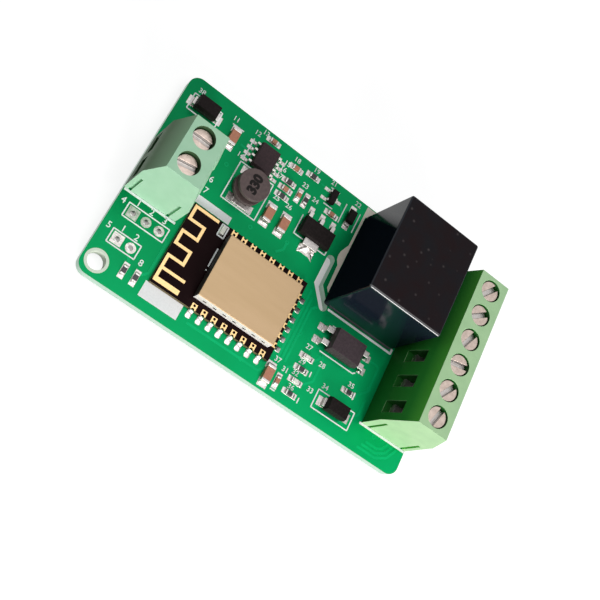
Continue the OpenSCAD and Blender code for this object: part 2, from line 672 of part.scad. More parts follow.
// One clamp: a box frame that the screw lifts, with the strip passing through it
module terminal_clamp() translate([screw_d, 0, clamp_z]) difference() {
    block([clamp_l, clamp_w, clamp_h]);
    translate([0, 0, clamp_t[0]])
        block([clamp_l + 2 * cut, clamp_w - 2 * clamp_wall, clamp_h - clamp_t[0] - clamp_t[1]]);
    translate([0, 0, clamp_h - clamp_t[1] - cut])
        cylinder(r = shank_d / 2 + thread_fit, h = clamp_t[1] + 2 * cut);
}
module at_pole(i, row) translate([pole_inset[row], pole_y(i), 0]) children();
module supply_screw(i) color("silver") on_supply() at_pole(i, supply) terminal_screw(supply_turn[i], supply);
module output_screw(i) color("silver") on_output() at_pole(i, output) terminal_screw(output_turn[i], output);
module supply_clamp(i) color("#b8b8b0") on_supply() at_pole(i, supply) terminal_clamp();
module output_clamp(i) color("#b8b8b0") on_output() at_pole(i, output) terminal_clamp();

// The inductor: a ferrite drum, the winding between its flanges, and two soldered terminals
drum_post_r = 1.5;
drum_recess = 0.35;
drum_foot = 0.3;
drum_terminal_l = 0.7;
module at_inductor() on_board() translate([regulator_x, inductor_y, 0]) children();
module inductor_core() color("#5a5250") at_inductor() translate([0, 0, drum_foot]) {
    cylinder(r = drum_d / 2, h = drum_flange);
    cylinder(r = drum_post_r, h = drum_h - drum_foot);
    translate([0, 0, drum_h - drum_foot - drum_flange]) cylinder(r = drum_d / 2, h = drum_flange);
}
module inductor_winding() color("#b87333") at_inductor() translate([0, 0, drum_foot + drum_flange])
    difference() {
        cylinder(r = drum_d / 2 - drum_recess, h = drum_h - drum_foot - 2 * drum_flange);
        translate([0, 0, -cut]) cylinder(r = drum_post_r + seat_fit, h = drum_h);
    }
module inductor_terminals() color("silver") at_inductor() for (turn = [-90, 90]) rotate(turn)
    translate([drum_d / 2 - drum_terminal_l, -drum_post_r, 0])
        cube([2 * drum_terminal_l, 2 * drum_post_r, drum_foot]);

// A formed lead that leaves a body at X = inner and stands on its foot at X = outer
lead_foot = 0.6;
module gull_lead(inner, outer, rise, w) side_profile(w, [[inner, rise], [inner, rise + lead_t],
    [outer - lead_foot + lead_t, rise + lead_t], [outer - lead_foot + lead_t, lead_t], [outer, lead_t],
    [outer, 0], [outer - lead_foot, 0], [outer - lead_foot, rise]]);
module standing_body(size) translate([0, 0, stand_off]) block(size);

// The eight-lead switching regulator
regulator_pitch = 1.27;
module at_regulator() on_board() translate([regulator_x, regulator_y, 0]) children();
module regulator_body() color("#2a2626") at_regulator() standing_body(regulator);
module regulator_leads() color("silver") at_regulator() for (turn = [0, 180], i = [-1.5 : 1.5]) rotate(turn)
    translate([0, i * regulator_pitch, 0])
        gull_lead(regulator.x / 2, regulator_span / 2, regulator.z / 2, lead_w);

// The low-dropout regulator, with three leads on one side and a wide tab on the other
ldo_pitch = 2.4;
ldo_lead_w = 0.75;
ldo_tab_w = 3;
module at_ldo() on_board() translate([ldo_x, ldo_y, 0]) children();
module ldo_body() color("#262222") at_ldo() standing_body(ldo);
module ldo_leads() color("silver") at_ldo() {
    for (i = [-1 : 1]) translate([i * ldo_pitch, 0, 0]) rotate(90)
        gull_lead(ldo.y / 2, ldo.y / 2 + ldo_reach, ldo.z / 2, ldo_lead_w);
    rotate(-90) gull_lead(ldo.y / 2, ldo.y / 2 + ldo_reach, ldo.z / 2, ldo_tab_w);
}

// The optocoupler between the module's side and the output side
opto_pitch = 2.54;
module at_opto() on_board() translate([opto_x, opto_y, 0]) children();
module optocoupler_body() color("#2c2828") at_opto() standing_body(opto);
module optocoupler_leads() color("silver") at_opto() for (turn = [0, 180], i = [-0.5, 0.5]) rotate(turn)
    translate([0, i * opto_pitch, 0]) gull_lead(opto.x / 2, opto_span / 2, opto.z / 2, opto_lead_w);

// The diodes: two power diodes, and the small one across the relay's coil
diode_lift = 0.25;
tab_under = 0.9;
tab_share = 0.6;
diodes = [[supply_diode_x, regulator_y + supply_diode_rise, 0, power_diode],
          [output_diode_x, output_diode_y, 0, power_diode],
          [coil_diode_at.x, coil_diode_at.y, 90, coil_diode]];
module at_diodes() for (d = diodes) translate([d[0], d[1], 0]) rotate(d[2]) {
    $size = d[3];
    children();
}
module diode_bodies() color("#242020") on_board() at_diodes() translate([0, 0, diode_lift]) block($size);
module diode_leads() color("silver") on_board() at_diodes() for (turn = [0, 180]) rotate(turn)
    side_profile(tab_share * $size.y, [[$size.x / 2 - tab_under, 0], [$size.x / 2 - tab_under, diode_lift],
        [$size.x / 2, diode_lift], [$size.x / 2, $size.z / 2], [$size.x / 2 + tab_reach, $size.z / 2],
        [$size.x / 2 + tab_reach, 0]]);

// The coil's driver transistor, with two leads on one side and one on the other
transistor_pitch = 1.9;
module at_transistor() on_board() translate([transistor_at.x, transistor_at.y, 0]) children();
module transistor_lead(turn, y) rotate(turn) translate([0, y, 0])
    gull_lead(transistor.x / 2, transistor.x / 2 + transistor_reach, transistor.z / 2, lead_w);
module transistor_body() color("#221e1e") at_transistor() standing_body(transistor);
module transistor_leads() color("silver") at_transistor() {
    transistor_lead(0, 0);
    for (y = [-0.5, 0.5]) transistor_lead(180, y * transistor_pitch);
}

// The chips: bodies between metal end caps
module at_chips(places) on_board() for (p = places) translate([p[0], p[1], 0]) rotate(p[2]) children();
module chip_body(chip) block([chip[0] - 2 * chip[3], chip[1], chip[2]]);
module chip_caps(chip) for (side = [-1, 1]) translate([side * (chip[0] - chip[3]) / 2, 0, 0])
    block([chip[3], chip[1], chip[2]]);
module capacitor_bodies() color("#9a5a40") {
    at_chips(big_caps) chip_body(big_chip);
    at_chips(small_caps) chip_body(small_chip);
}
module resistor_bodies() color("#1e1e22") at_chips(resistors) chip_body(small_chip);
module status_leds() color("#f0ead0") at_chips(leds) chip_body(small_chip);
module chip_ends() color("#d8d8d4") {
    at_chips(big_caps) chip_caps(big_chip);
    at_chips(concat(small_caps, resistors, leds)) chip_caps(small_chip);
}

circuit_board();
solder_joints();
wifi_board();
wifi_pads();
wifi_solder();
wifi_antenna();
shield_can();
wifi_chip();
flash_chip();
crystal_can();
module_led();
relay_case();
relay_base();
relay_bobbin();
relay_coil();
relay_core();
relay_yoke();
relay_armature();
relay_blade();
relay_upper_contact();
relay_lower_contact();
relay_coil_pins();
supply_block();
supply_contacts();
output_block();
output_contacts();
inductor_core();
inductor_winding();
inductor_terminals();
regulator_body();
regulator_leads();
ldo_body();
ldo_leads();
optocoupler_body();
optocoupler_leads();
diode_bodies();
diode_leads();
transistor_body();
transistor_leads();
capacitor_bodies();
resistor_bodies();
chip_ends();
status_leds();
for (i = [0 : supply_poles - 1]) {
    supply_screw(i);
    supply_clamp(i);
}
for (i = [0 : output_poles - 1]) {
    output_screw(i);
    output_clamp(i);
}
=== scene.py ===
# %% [markdown]
# # A wireless relay board
# The part is a green circuit board with a radio module, a sealed relay and two rows of screw terminals.
# The CAD model already has every solid in its place, so this lesson only dresses it. It could be modelled
# again from nothing, but then the looks and the moving bodies would drift apart. Each piece below rides on
# the CAD body that carries it.

import json
import math

import bmesh
import bpy
from mathutils import Matrix, Vector

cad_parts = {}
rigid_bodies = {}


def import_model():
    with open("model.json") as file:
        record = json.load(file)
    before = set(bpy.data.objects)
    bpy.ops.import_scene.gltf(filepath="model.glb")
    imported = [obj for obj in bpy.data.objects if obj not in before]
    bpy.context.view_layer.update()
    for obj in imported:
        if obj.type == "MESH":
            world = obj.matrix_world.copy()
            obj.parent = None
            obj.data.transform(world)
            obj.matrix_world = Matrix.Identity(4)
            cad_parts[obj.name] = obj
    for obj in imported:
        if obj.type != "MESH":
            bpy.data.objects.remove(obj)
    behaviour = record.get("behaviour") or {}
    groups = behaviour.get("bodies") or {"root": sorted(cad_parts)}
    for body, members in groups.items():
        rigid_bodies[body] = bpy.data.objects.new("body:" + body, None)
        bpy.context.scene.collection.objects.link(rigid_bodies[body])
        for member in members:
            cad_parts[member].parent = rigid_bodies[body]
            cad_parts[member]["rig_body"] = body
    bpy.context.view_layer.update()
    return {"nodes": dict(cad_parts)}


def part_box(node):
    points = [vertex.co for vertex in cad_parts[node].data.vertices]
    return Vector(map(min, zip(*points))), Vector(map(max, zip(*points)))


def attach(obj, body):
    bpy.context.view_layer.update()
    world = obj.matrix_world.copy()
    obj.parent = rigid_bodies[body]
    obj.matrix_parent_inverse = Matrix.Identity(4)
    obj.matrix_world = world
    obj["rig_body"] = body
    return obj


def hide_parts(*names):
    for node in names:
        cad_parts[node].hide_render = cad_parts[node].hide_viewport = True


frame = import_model()

# %% [markdown]
# ## One ruler for everything
# A board maker measures from one corner of the board and from its top face. The same habit keeps this script
# readable: spot() turns such millimetres into the part's own frame, in metres.

# %% Places on the board
MM = 0.001
corner, far_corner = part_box("circuit_board")
board_t = (far_corner.z - corner.z) / MM


def spot(x, y, z=0.0):
    """A place in millimetres from the board's first corner and its top face."""
    return Vector((corner.x + x * MM, corner.y + y * MM, far_corner.z + z * MM))


def from_spot(point):
    """The opposite of spot(): a point of the part's frame as board millimetres."""
    return (point.x - corner.x) / MM, (point.y - corner.y) / MM, (point.z - far_corner.z) / MM


board_l, board_w, _ = from_spot(far_corner)
print("board", round(board_l, 2), "by", round(board_w, 2), "by", round(board_t, 2), "mm")

# %% [markdown]
# ## Camera
# The photograph looks steeply down on the board with the camera rolled on its side. A camera could be aimed
# by eye, but a place, an aim point and a roll angle hold the same view with round numbers.

# %% Camera at the photograph's angle
scene = bpy.context.scene
camera = bpy.data.objects.new("Camera", bpy.data.cameras.new("Camera"))
scene.collection.objects.link(camera)
camera_at = Vector((-53.0, -75.05, 155.8)) * MM
aim_at = Vector((2.1, -3.55, 5.0)) * MM
camera_roll = math.radians(68.9)
camera.data.sensor_width = 36.0
camera.data.lens = 61.9
camera.data.clip_start = 0.005
look = (aim_at - camera_at).to_track_quat("-Z", "Y").to_matrix().to_4x4()
camera.matrix_world = Matrix.Translation(camera_at) @ look @ Matrix.Rotation(camera_roll, 4, "Z")
scene.camera = camera
print("camera looks along", [round(c, 3) for c in (aim_at - camera_at).normalized()])

# %% [markdown]
# ## Nodes as formulas
# The light, the finishes and the shapes that repeat are all graphs of nodes. Adding, setting and joining one
# node step by step takes four lines. One call that takes plain values and other nodes' outputs alike reads
# more like a formula, and the short functions after it name the kinds of node that come back often.

# %% Node helpers
def feed(tree, socket, value):
    """A link where the value is another node's output, and else the socket's own value."""
    if isinstance(value, bpy.types.NodeSocket):
        tree.links.new(value, socket)
    elif socket.type == "RGBA":
        socket.default_value = (*value, 1)
    else:
        socket.default_value = value


def add_node(tree, kind, inputs=None, **settings):
    """A new node with its settings, and with its inputs fed."""
    node = tree.nodes.new(kind)
    for key, value in settings.items():
        setattr(node, key, value)
    for key, value in (inputs or {}).items():
        feed(tree, node.inputs[key], value)
    return node


def reckon(tree, operation, *values):
    """The result of a Math node."""
    return add_node(tree, "ShaderNodeMath", dict(enumerate(values)), operation=operation).outputs[0]


def ramp(tree, value, low, high, to_low=0.0, to_high=1.0):
    """A value carried from one range over to another, and held at its ends."""
    sockets = {"Value": value, "From Min": low, "From Max": high, "To Min": to_low, "To Max": to_high}
    return add_node(tree, "ShaderNodeMapRange", sockets).outputs[0]


def mixed(tree, share, first, second):
    """The first colour where the share is 0, and the second where it is 1."""
    return add_node(tree, "ShaderNodeMix", {0: share, 6: first, 7: second}, data_type="RGBA").outputs[2]


def between(tree, share, first, second):
    """The same for two numbers."""
    return add_node(tree, "ShaderNodeMix", {0: share, 2: first, 3: second}, data_type="FLOAT").outputs[0]


def coords_of(tree):
    """The Object coordinates, which are metres in the part's frame."""
    return add_node(tree, "ShaderNodeTexCoord").outputs["Object"]


def place_in(tree):
    """The x, y and z of the Object coordinates."""
    return add_node(tree, "ShaderNodeSeparateXYZ", {0: coords_of(tree)}).outputs


def length_of(tree, vector):
    """The length of a vector."""
    return add_node(tree, "ShaderNodeVectorMath", {0: vector}, operation="LENGTH").outputs["Value"]


print("node helpers ready")

# %% [markdown]
# ## Light, floor and background
# The photograph has a white background and one broad light from the side of the output terminals. A large
# lamp gives that soft shade. The world is a weak fill for the surfaces, and plain white for the camera and
# for mirrors, so that the metal shows the same white that the picture does.

# %% Studio world
def seen_directly(tree):
    """1 for rays from the camera, a mirror or a glass, and 0 for light that falls on a surface."""
    rays = add_node(tree, "ShaderNodeLightPath").outputs
    first = reckon(tree, "MAXIMUM", rays["Is Camera Ray"], rays["Is Glossy Ray"])
    return reckon(tree, "MAXIMUM", first, rays["Is Transmission Ray"])


scene.view_settings.view_transform = "Standard"
scene.world = bpy.data.worlds.new("Studio")
scene.world.use_nodes = True
tree = scene.world.node_tree
tree.nodes.clear()
fill_strength = 0.12
fill = add_node(tree, "ShaderNodeBackground", {"Color": (0.93, 0.97, 1.0), "Strength": fill_strength})
white = add_node(tree, "ShaderNodeBackground", {"Color": (1, 1, 1)})
shown = {0: seen_directly(tree), 1: fill.outputs[0], 2: white.outputs[0]}
pick = add_node(tree, "ShaderNodeMixShader", shown)
add_node(tree, "ShaderNodeOutputWorld", {0: pick.outputs[0]})
print("world fill", fill_strength)

# %% Lamps
lamp_aim = Vector((0, 0, 0.005))


def soft_lamp(name, place, size, power, colour):
    """A square lamp that faces the middle of the board."""
    data = bpy.data.lights.new(name, "AREA")
    data.size = size
    data.energy = power
    data.color = colour
    lamp = bpy.data.objects.new(name, data)
    scene.collection.objects.link(lamp)
    lamp.location = place
    lamp.rotation_mode = "QUATERNION"
    lamp.rotation_quaternion = (lamp_aim - Vector(place)).to_track_quat("-Z", "Y")
    print(name, power, "W at", place)


soft_lamp("Key lamp", (0.22, -0.38, 0.15), 0.24, 2.55, (1.0, 0.98, 0.95))
soft_lamp("Top lamp", (0.04, -0.05, 0.52), 0.36, 1.28, (1.0, 1.0, 1.0))

# %% [markdown]
# ### Floor
# The floor is a sheet of pale paper that fades into the background. A second lamp on the paper would also
# light the part. Instead the paper has a glow that only the camera and mirrors see. It gets whiter with the
# distance from the board, and weaker under the board, where a real sheet lies in deep shade.

# %% Floor
floor_half = 1.5
floor_mesh = bpy.data.meshes.new("Floor")
floor_corners = [(x * floor_half, y * floor_half, 0) for x, y in ((-1, -1), (1, -1), (1, 1), (-1, 1))]
floor_mesh.from_pydata(floor_corners, [], [(0, 1, 2, 3)])
floor = bpy.data.objects.new("Floor", floor_mesh)
scene.collection.objects.link(floor)
paper = bpy.data.materials.new("Floor paper")
paper.use_nodes = True
tree = paper.node_tree
tree.nodes.clear()
distance = length_of(tree, coords_of(tree))
far_off = ramp(tree, distance, 0.12, 0.45, 0.84)
under_board = ramp(tree, distance, 0.010, 0.018, 0.45)
glow = reckon(tree, "MULTIPLY", seen_directly(tree), reckon(tree, "MULTIPLY", far_off, under_board))
matt = add_node(tree, "ShaderNodeBsdfDiffuse", {"Color": (0.30, 0.30, 0.30)})
lit = add_node(tree, "ShaderNodeEmission", {"Strength": glow})
both = add_node(tree, "ShaderNodeAddShader", {0: matt.outputs[0], 1: lit.outputs[0]})
add_node(tree, "ShaderNodeOutputMaterial", {0: both.outputs[0]})
floor_mesh.materials.append(paper)
print("floor", 2 * floor_half, "m across")

# %% [markdown]
# ## Finishes
# Real board parts are never one flat colour: moulded plastic has grain, metal has brush marks, solder is
# lumpy. Image textures could show that, but they would have to travel with the part. Noise on Object
# coordinates does it from numbers alone, at any scale. Every finish below is the same small recipe: two
# colours mixed by a noise, a roughness that follows the noise, and a finer noise as bump.

# %% A recipe for a finish
GRAIN_DEEP = 0.00003


def to_shader(tree, socket, value):
    """Feeds a socket of a material's shader."""
    feed(tree, tree.nodes["Principled BSDF"].inputs[socket], value)


def from_shader(tree, socket):
    """The output that feeds a socket of the shader so far, to build on."""
    return tree.nodes["Principled BSDF"].inputs[socket].links[0].from_socket


def relief(tree, height, strength, deep):
    """A bump on the surface; deep is in metres."""
    sockets = {"Strength": strength, "Distance": deep, "Height": height}
    to_shader(tree, "Normal", add_node(tree, "ShaderNodeBump", sockets).outputs[0])


def finish(name, colour, other, per_mm, rough, metal=0.0, bump=0.0, bump_per_mm=8.0, stretch=(1, 1, 1),
           **more):
    """A surface that wanders between two colours; per_mm is the noise's detail per millimetre."""
    mat = bpy.data.materials.new(name)
    mat.use_nodes = True
    tree = mat.node_tree
    to_shader(tree, "Metallic", metal)
    for key, value in more.items():
        to_shader(tree, key.replace("_", " ").title().replace("Ior", "IOR"), value)
    scale = [s / MM for s in stretch]
    in_mm = add_node(tree, "ShaderNodeMapping", {"Vector": coords_of(tree), "Scale": scale}).outputs[0]
    noise = {"Vector": in_mm, "Scale": per_mm, "Detail": 4}
    patches = add_node(tree, "ShaderNodeTexNoise", noise, name="Patches").outputs["Fac"]
    to_shader(tree, "Base Color", mixed(tree, ramp(tree, patches, 0.3, 0.7), colour, other))
    to_shader(tree, "Roughness", ramp(tree, patches, 0, 1, *rough))
    if bump:
        noise = {"Vector": in_mm, "Scale": bump_per_mm, "Detail": 3}
        relief(tree, add_node(tree, "ShaderNodeTexNoise", noise).outputs["Fac"], bump, GRAIN_DEEP)
    return mat


print("recipe ready")

# %% [markdown]
# ### Plastics and inks
# The blocks are injection moulded, so they are satin with a fine grain. Their colour has painted shade on the
# side that faces the board and in the wells and windows, with a painted lit edge at the top of that side and
# darker towards the foot. Lamps alone leave these places too pale, so the faces there carry a mark that the
# finish reads. The inks are screen printed and cured, smooth but a little uneven.

# %% Plastic of the terminal blocks
def marked(tree, label):
    """1 on the faces that carry a mark, and 0 on all others."""
    return add_node(tree, "ShaderNodeAttribute", attribute_name=label).outputs["Fac"]


def block_plastic(name, node, colour, other, edge, deep, reach):
    """Plastic with painted shade from a lit edge to deep on a block's inner side, over a reach in
    millimetres.
    """
    mat = finish(name, colour, other, 0.5, (0.36, 0.5), bump=0.12, bump_per_mm=12, specular_ior_level=0.05)
    tree = mat.node_tree
    low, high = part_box(node)
    x, _, z = place_in(tree)
    # Painted shade: lit edge to deep colour on the inner side, darker at the foot, darkest in hollows.
    deepest_shade = [0.3 * c for c in deep]
    shade_by_height = mixed(tree, ramp(tree, z, low.z, high.z), deepest_shade, deep)
    slope = ramp(tree, x, low.x + reach[1] * MM, low.x + reach[0] * MM)
    side = mixed(tree, slope, edge, shade_by_height)
    outside = mixed(tree, marked(tree, "on the inner side"), from_shader(tree, "Base Color"), side)
    to_shader(tree, "Base Color", mixed(tree, marked(tree, "in a hollow"), outside, deepest_shade))
    return mat


# Per block: a painted lit edge colour, a painted shade colour and the shade's reach in mm.
green_plastic = block_plastic("Green block plastic", "output_block", (0.37, 0.58, 0.33), (0.41, 0.63, 0.36),
                              (0.13, 0.60, 0.07), (0.04, 0.36, 0.05), (1.3, 2.3))
mint_plastic = block_plastic("Mint block plastic", "supply_block", (0.375, 0.635, 0.44), (0.415, 0.675, 0.48),
                             (0.40, 0.72, 0.42), (0.14, 0.31, 0.13), (0.2, 1.7))
print("block plastics ready")

# %% Other mouldings and inks
moulding = {"per_mm": 2.5, "rough": (0.42, 0.6), "bump": 0.5, "bump_per_mm": 22}
epoxy = finish("Moulding epoxy", (0.026, 0.017, 0.019), (0.042, 0.026, 0.029), **moulding,
               specular_ior_level=0.12)
black_epoxy = finish("Black epoxy", (0.008, 0.006, 0.006), (0.016, 0.012, 0.012), **moulding,
                     specular_ior_level=0.06)
grey_epoxy = finish("Grey epoxy", (0.042, 0.030, 0.035), (0.062, 0.045, 0.052), **moulding,
                    specular_ior_level=0.12)
ferrite = finish("Pressed ferrite", (0.080, 0.058, 0.058), (0.110, 0.080, 0.078), 1.6, (0.45, 0.62), bump=0.5,
                 bump_per_mm=14, specular_ior_level=0.2)
cream_plastic = finish("Bobbin plastic", (0.74, 0.68, 0.52), (0.80, 0.75, 0.60), 0.8, (0.4, 0.55), bump=0.1)
bare_laminate = finish("Bare laminate", (0.63, 0.71, 0.59), (0.71, 0.78, 0.67), 2.0, (0.5, 0.65), bump=0.3)
print_coat = {"per_mm": 3.0, "rough": (0.5, 0.65), "bump": 0.3, "bump_per_mm": 9}
white_ink = finish("White ink", (0.79, 0.80, 0.81), (0.86, 0.87, 0.88), **print_coat)
cream_ink = finish("Cream ink", (0.82, 0.76, 0.64), (0.88, 0.82, 0.70), **print_coat)
dark_ink = finish("Dark ink", (0.006, 0.005, 0.005), (0.012, 0.010, 0.010), 4.0, (0.5, 0.7), bump=0.2,
                  specular_ior_level=0.1)
print("mouldings and inks ready")

# %% [markdown]
# ### Metals
# Solder freezes lumpy, and plated gold is soft and even. Both are fully metallic, so their look comes mostly
# from what they reflect. The lid of the radio's can is brushed and dull. Its walls carry painted reflection:
# they are painted pale for the floor they face, and painted dark on the aerial side, for the dark board and
# its shade. A dull lid can't show either, so the finish tells the walls from the lid by their place.

# %% Metals
solder = finish("Solder", (0.38, 0.35, 0.34), (0.60, 0.56, 0.54), 1.8, (0.2, 0.42), 1.0, 0.8, 3.5)
tin = finish("Tin plate", (0.46, 0.43, 0.42), (0.60, 0.57, 0.55), 3.0, (0.28, 0.46), 1.0, 0.35, 10)
gold = finish("Plated gold", (0.68, 0.46, 0.21), (0.76, 0.53, 0.26), 2.0, (0.3, 0.45), 1.0, 0.25, 10)
clamp_steel = finish("Zinc plated steel", (0.20, 0.20, 0.19), (0.29, 0.28, 0.27), 1.2, (0.28, 0.5), 1.0, 0.3)
soft_iron = finish("Bright iron", (0.46, 0.46, 0.47), (0.56, 0.56, 0.57), 1.0, (0.3, 0.5), 1.0, 0.3)
bronze = finish("Spring bronze", (0.66, 0.40, 0.20), (0.74, 0.47, 0.25), 1.5, (0.25, 0.4), 1.0, 0.2,
                stretch=(1, 0.1, 1))
enamel_wire = finish("Enamelled wire", (0.14, 0.045, 0.02), (0.20, 0.07, 0.03), 2.5, (0.2, 0.34), 1.0, 0.1)
print("metals ready")

# %% Shield can
can_low, can_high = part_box("shield_can")
can_metal = finish("Shield can plate", (0.53, 0.365, 0.205), (0.57, 0.395, 0.230), 0.22, (0.46, 0.56), 0.3,
                   0.25, 5, (0.25, 2.5, 1), specular_ior_level=0.2)
tree = can_metal.node_tree
x, _, z = place_in(tree)
# Painted reflection: walls below the lid painted pale, the aerial-side wall painted dark as reflection and
# shade.
below_lid = reckon(tree, "LESS_THAN", z, can_high.z - 0.12 * MM)
painted_dark_side = reckon(tree, "LESS_THAN", x, can_low.x + 0.08 * MM)
painted_wall_light = mixed(tree, below_lid, from_shader(tree, "Base Color"), (0.90, 0.88, 0.87))
to_shader(tree, "Base Color", mixed(tree, painted_dark_side, painted_wall_light, (0.03, 0.026, 0.024)))
print("can finish ready")

# %% [markdown]
# ### Ceramics and lenses
# Chip capacitors are fired brown, resistors have a black glaze, and the small lamps are clear resin. Each is
# hard and fairly smooth, so the common recipe does with a lower roughness.

# %% Ceramics and lenses
brown_ceramic = finish("Capacitor ceramic", (0.38, 0.150, 0.085), (0.46, 0.190, 0.110), 2.2, (0.3, 0.45),
                       bump=0.25, bump_per_mm=12)
black_glaze = finish("Resistor glaze", (0.012, 0.012, 0.014), (0.022, 0.022, 0.025), 3.0, (0.22, 0.38),
                     bump=0.2)
lamp_lens = finish("Lamp lens", (0.86, 0.85, 0.76), (0.92, 0.91, 0.83), 1.5, (0.16, 0.28), bump=0.1,
                   transmission_weight=0.1)
print("ceramics ready")

# %% [markdown]
# ### Solder mask
# The board is glass laminate under a green lacquer, so its faces are green and glossy while its cut edges and
# the walls of its holes are pale laminate. Two pieces could carry the two colours. One material that reads
# the height within the board does it on the CAD node itself. The lacquer mirrors its neighbours in its own
# green, as foil under tinted glass does, so it is partly metallic.

# %% Mask and laminate
mask_rough, mask_mirror = (0.26, 0.36), 0.45


def painted_gradient(tree):
    """The colour with painted light: darker towards one end of the board and brighter towards the other."""
    brighter_towards = (0.75 / (board_l * MM), -0.25 / (board_w * MM), 0)
    sockets = {0: coords_of(tree), 1: brighter_towards}
    along = add_node(tree, "ShaderNodeVectorMath", sockets, operation="DOT_PRODUCT")
    painted_brightness = ramp(tree, along.outputs["Value"], -0.5, 0.5, 0.58, 1.18)
    sockets = {0: from_shader(tree, "Base Color"), "Scale": painted_brightness}
    return add_node(tree, "ShaderNodeVectorMath", sockets, operation="SCALE").outputs[0]


def masked_board(name, node, mask, other, edge, rough, sheen, mirror=0.0):
    """A mask finish on the two faces of a board, and bare laminate on whatever lies between them."""
    mat = finish(name, mask, other, 0.12, rough, mirror, 0.06, 2.0, specular_ior_level=sheen)
    tree = mat.node_tree
    low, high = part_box(node)
    _, _, z = place_in(tree)
    from_middle = reckon(tree, "ABSOLUTE", reckon(tree, "SUBTRACT", z, (low.z + high.z) / 2))
    inside = reckon(tree, "LESS_THAN", from_middle, (high.z - low.z) / 2 - 0.04 * MM)
    # The mask colour carries a painted light gradient across the board.
    to_shader(tree, "Base Color", mixed(tree, inside, painted_gradient(tree), edge))
    return mat


green_mask = masked_board("Green mask", "circuit_board", (0.0, 0.320, 0.098), (0.0, 0.360, 0.114),
                          (0.50, 0.69, 0.57), mask_rough, 0.08, mask_mirror)
black_mask = masked_board("Black mask", "wifi_board", (0.010, 0.0035, 0.004), (0.016, 0.007, 0.008),
                          (0.14, 0.11, 0.06), (0.3, 0.42), 0.02)
over_copper = finish("Mask over copper", (0.0, 0.375, 0.125), (0.0, 0.425, 0.145), 0.3, mask_rough,
                     mask_mirror, 0.06, 2.0, specular_ior_level=0.12)
# The copper's mask colour carries the same painted light gradient.
to_shader(over_copper.node_tree, "Base Color", painted_gradient(over_copper.node_tree))
print("masks ready")

# %% [markdown]
# ### Relay case
# The case is glossy black on its sides, so they mirror the board and the floor. The side towards the radio is
# duller, apart from one polished corner, and the near edge of the lid shines. The lid itself has a fine
# texture with a little dust in it. A Voronoi pattern picks a few cells and marks their centres, which gives
# specks with no image.

# %% Gloss of the relay case
relay_low, relay_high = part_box("relay_case")
relay_black = finish("Relay case", (0.010, 0.0050, 0.0060), (0.0075, 0.0070, 0.0090), 0.35, (0.10, 0.16),
                     bump=0.05, bump_per_mm=1.5)
tree = relay_black.node_tree
x, y, z = place_in(tree)
on_lid = reckon(tree, "GREATER_THAN", z, relay_high.z - 0.04 * MM)
lid_rough = ramp(tree, tree.nodes["Patches"].outputs["Fac"], 0, 1, 0.40, 0.56)
to_shader(tree, "Roughness", between(tree, on_lid, from_shader(tree, "Roughness"), lid_rough))
radio_side = reckon(tree, "LESS_THAN", x, relay_low.x + 0.05 * MM)
corner_lean = 0.52
corner_top = relay_high.y + corner_lean * relay_high.z
towards_corner = reckon(tree, "MULTIPLY_ADD", z, corner_lean, y)
polished = ramp(tree, towards_corner, corner_top - 7.5 * MM, corner_top - 5.0 * MM, 0, 0.18)
near_rim = reckon(tree, "MULTIPLY", reckon(tree, "GREATER_THAN", z, relay_high.z - 0.40 * MM),
                  reckon(tree, "LESS_THAN", y, relay_low.y + 0.45 * MM))
sheen = between(tree, radio_side, between(tree, on_lid, 0.22, 0.06), polished)
to_shader(tree, "Specular IOR Level", between(tree, near_rim, sheen, 0.9))
print("relay gloss ready")

# %% Dust on the relay case
cells = add_node(tree, "ShaderNodeTexVoronoi", {"Vector": coords_of(tree), "Scale": 800})
speck = ramp(tree, cells.outputs["Distance"], 0.26, 0.06)
lot = add_node(tree, "ShaderNodeSeparateColor", {0: cells.outputs["Color"]}).outputs[0]
few = reckon(tree, "GREATER_THAN", lot, 0.70)
dust = reckon(tree, "MULTIPLY", reckon(tree, "MULTIPLY", speck, few), on_lid)
# Painted reflection: the sides of the case get a dark bluish tint; the lid keeps its own colour under the
# dust.
painted_blue_sides = mixed(tree, on_lid, (0.007, 0.011, 0.019), from_shader(tree, "Base Color"))
to_shader(tree, "Base Color", mixed(tree, dust, painted_blue_sides, (0.050, 0.043, 0.044)))
print("relay finish has", len(tree.nodes), "nodes")

# %% [markdown]
# ### Turned screws
# A screw head leaves the lathe with fine rings round its axis. Object coordinates have their middle at the
# part's origin and not at each screw, so the screws carry a UV map that is measured from their own axis, and
# the rings read that. The slot is milled later and is a little greyer.

# %% Turned metal
turned = finish("Turned nickel", (0.48, 0.385, 0.335), (0.60, 0.49, 0.43), 1.4, (0.22, 0.38), 1.0)
tree = turned.node_tree
from_axis = length_of(tree, add_node(tree, "ShaderNodeUVMap", uv_map="From the axis").outputs[0])
radians_per_mm, ring_deep = 55.0, 0.00002
relief(tree, reckon(tree, "SINE", reckon(tree, "MULTIPLY", from_axis, radians_per_mm)), 0.12, ring_deep)
in_slot = marked(tree, "in the slot")
to_shader(tree, "Base Color", mixed(tree, in_slot, from_shader(tree, "Base Color"), (0.50, 0.47, 0.45)))
print("turned metal ready")

# %% [markdown]
# ## Helpers that make pieces
# Three ways of making a piece are used below. A CAD solid can be copied and have its edges eased, as every
# real moulding has. A small shape can be built once and set out many times by Geometry Nodes. And a shape can
# be written straight into a mesh. All three end in add_piece().

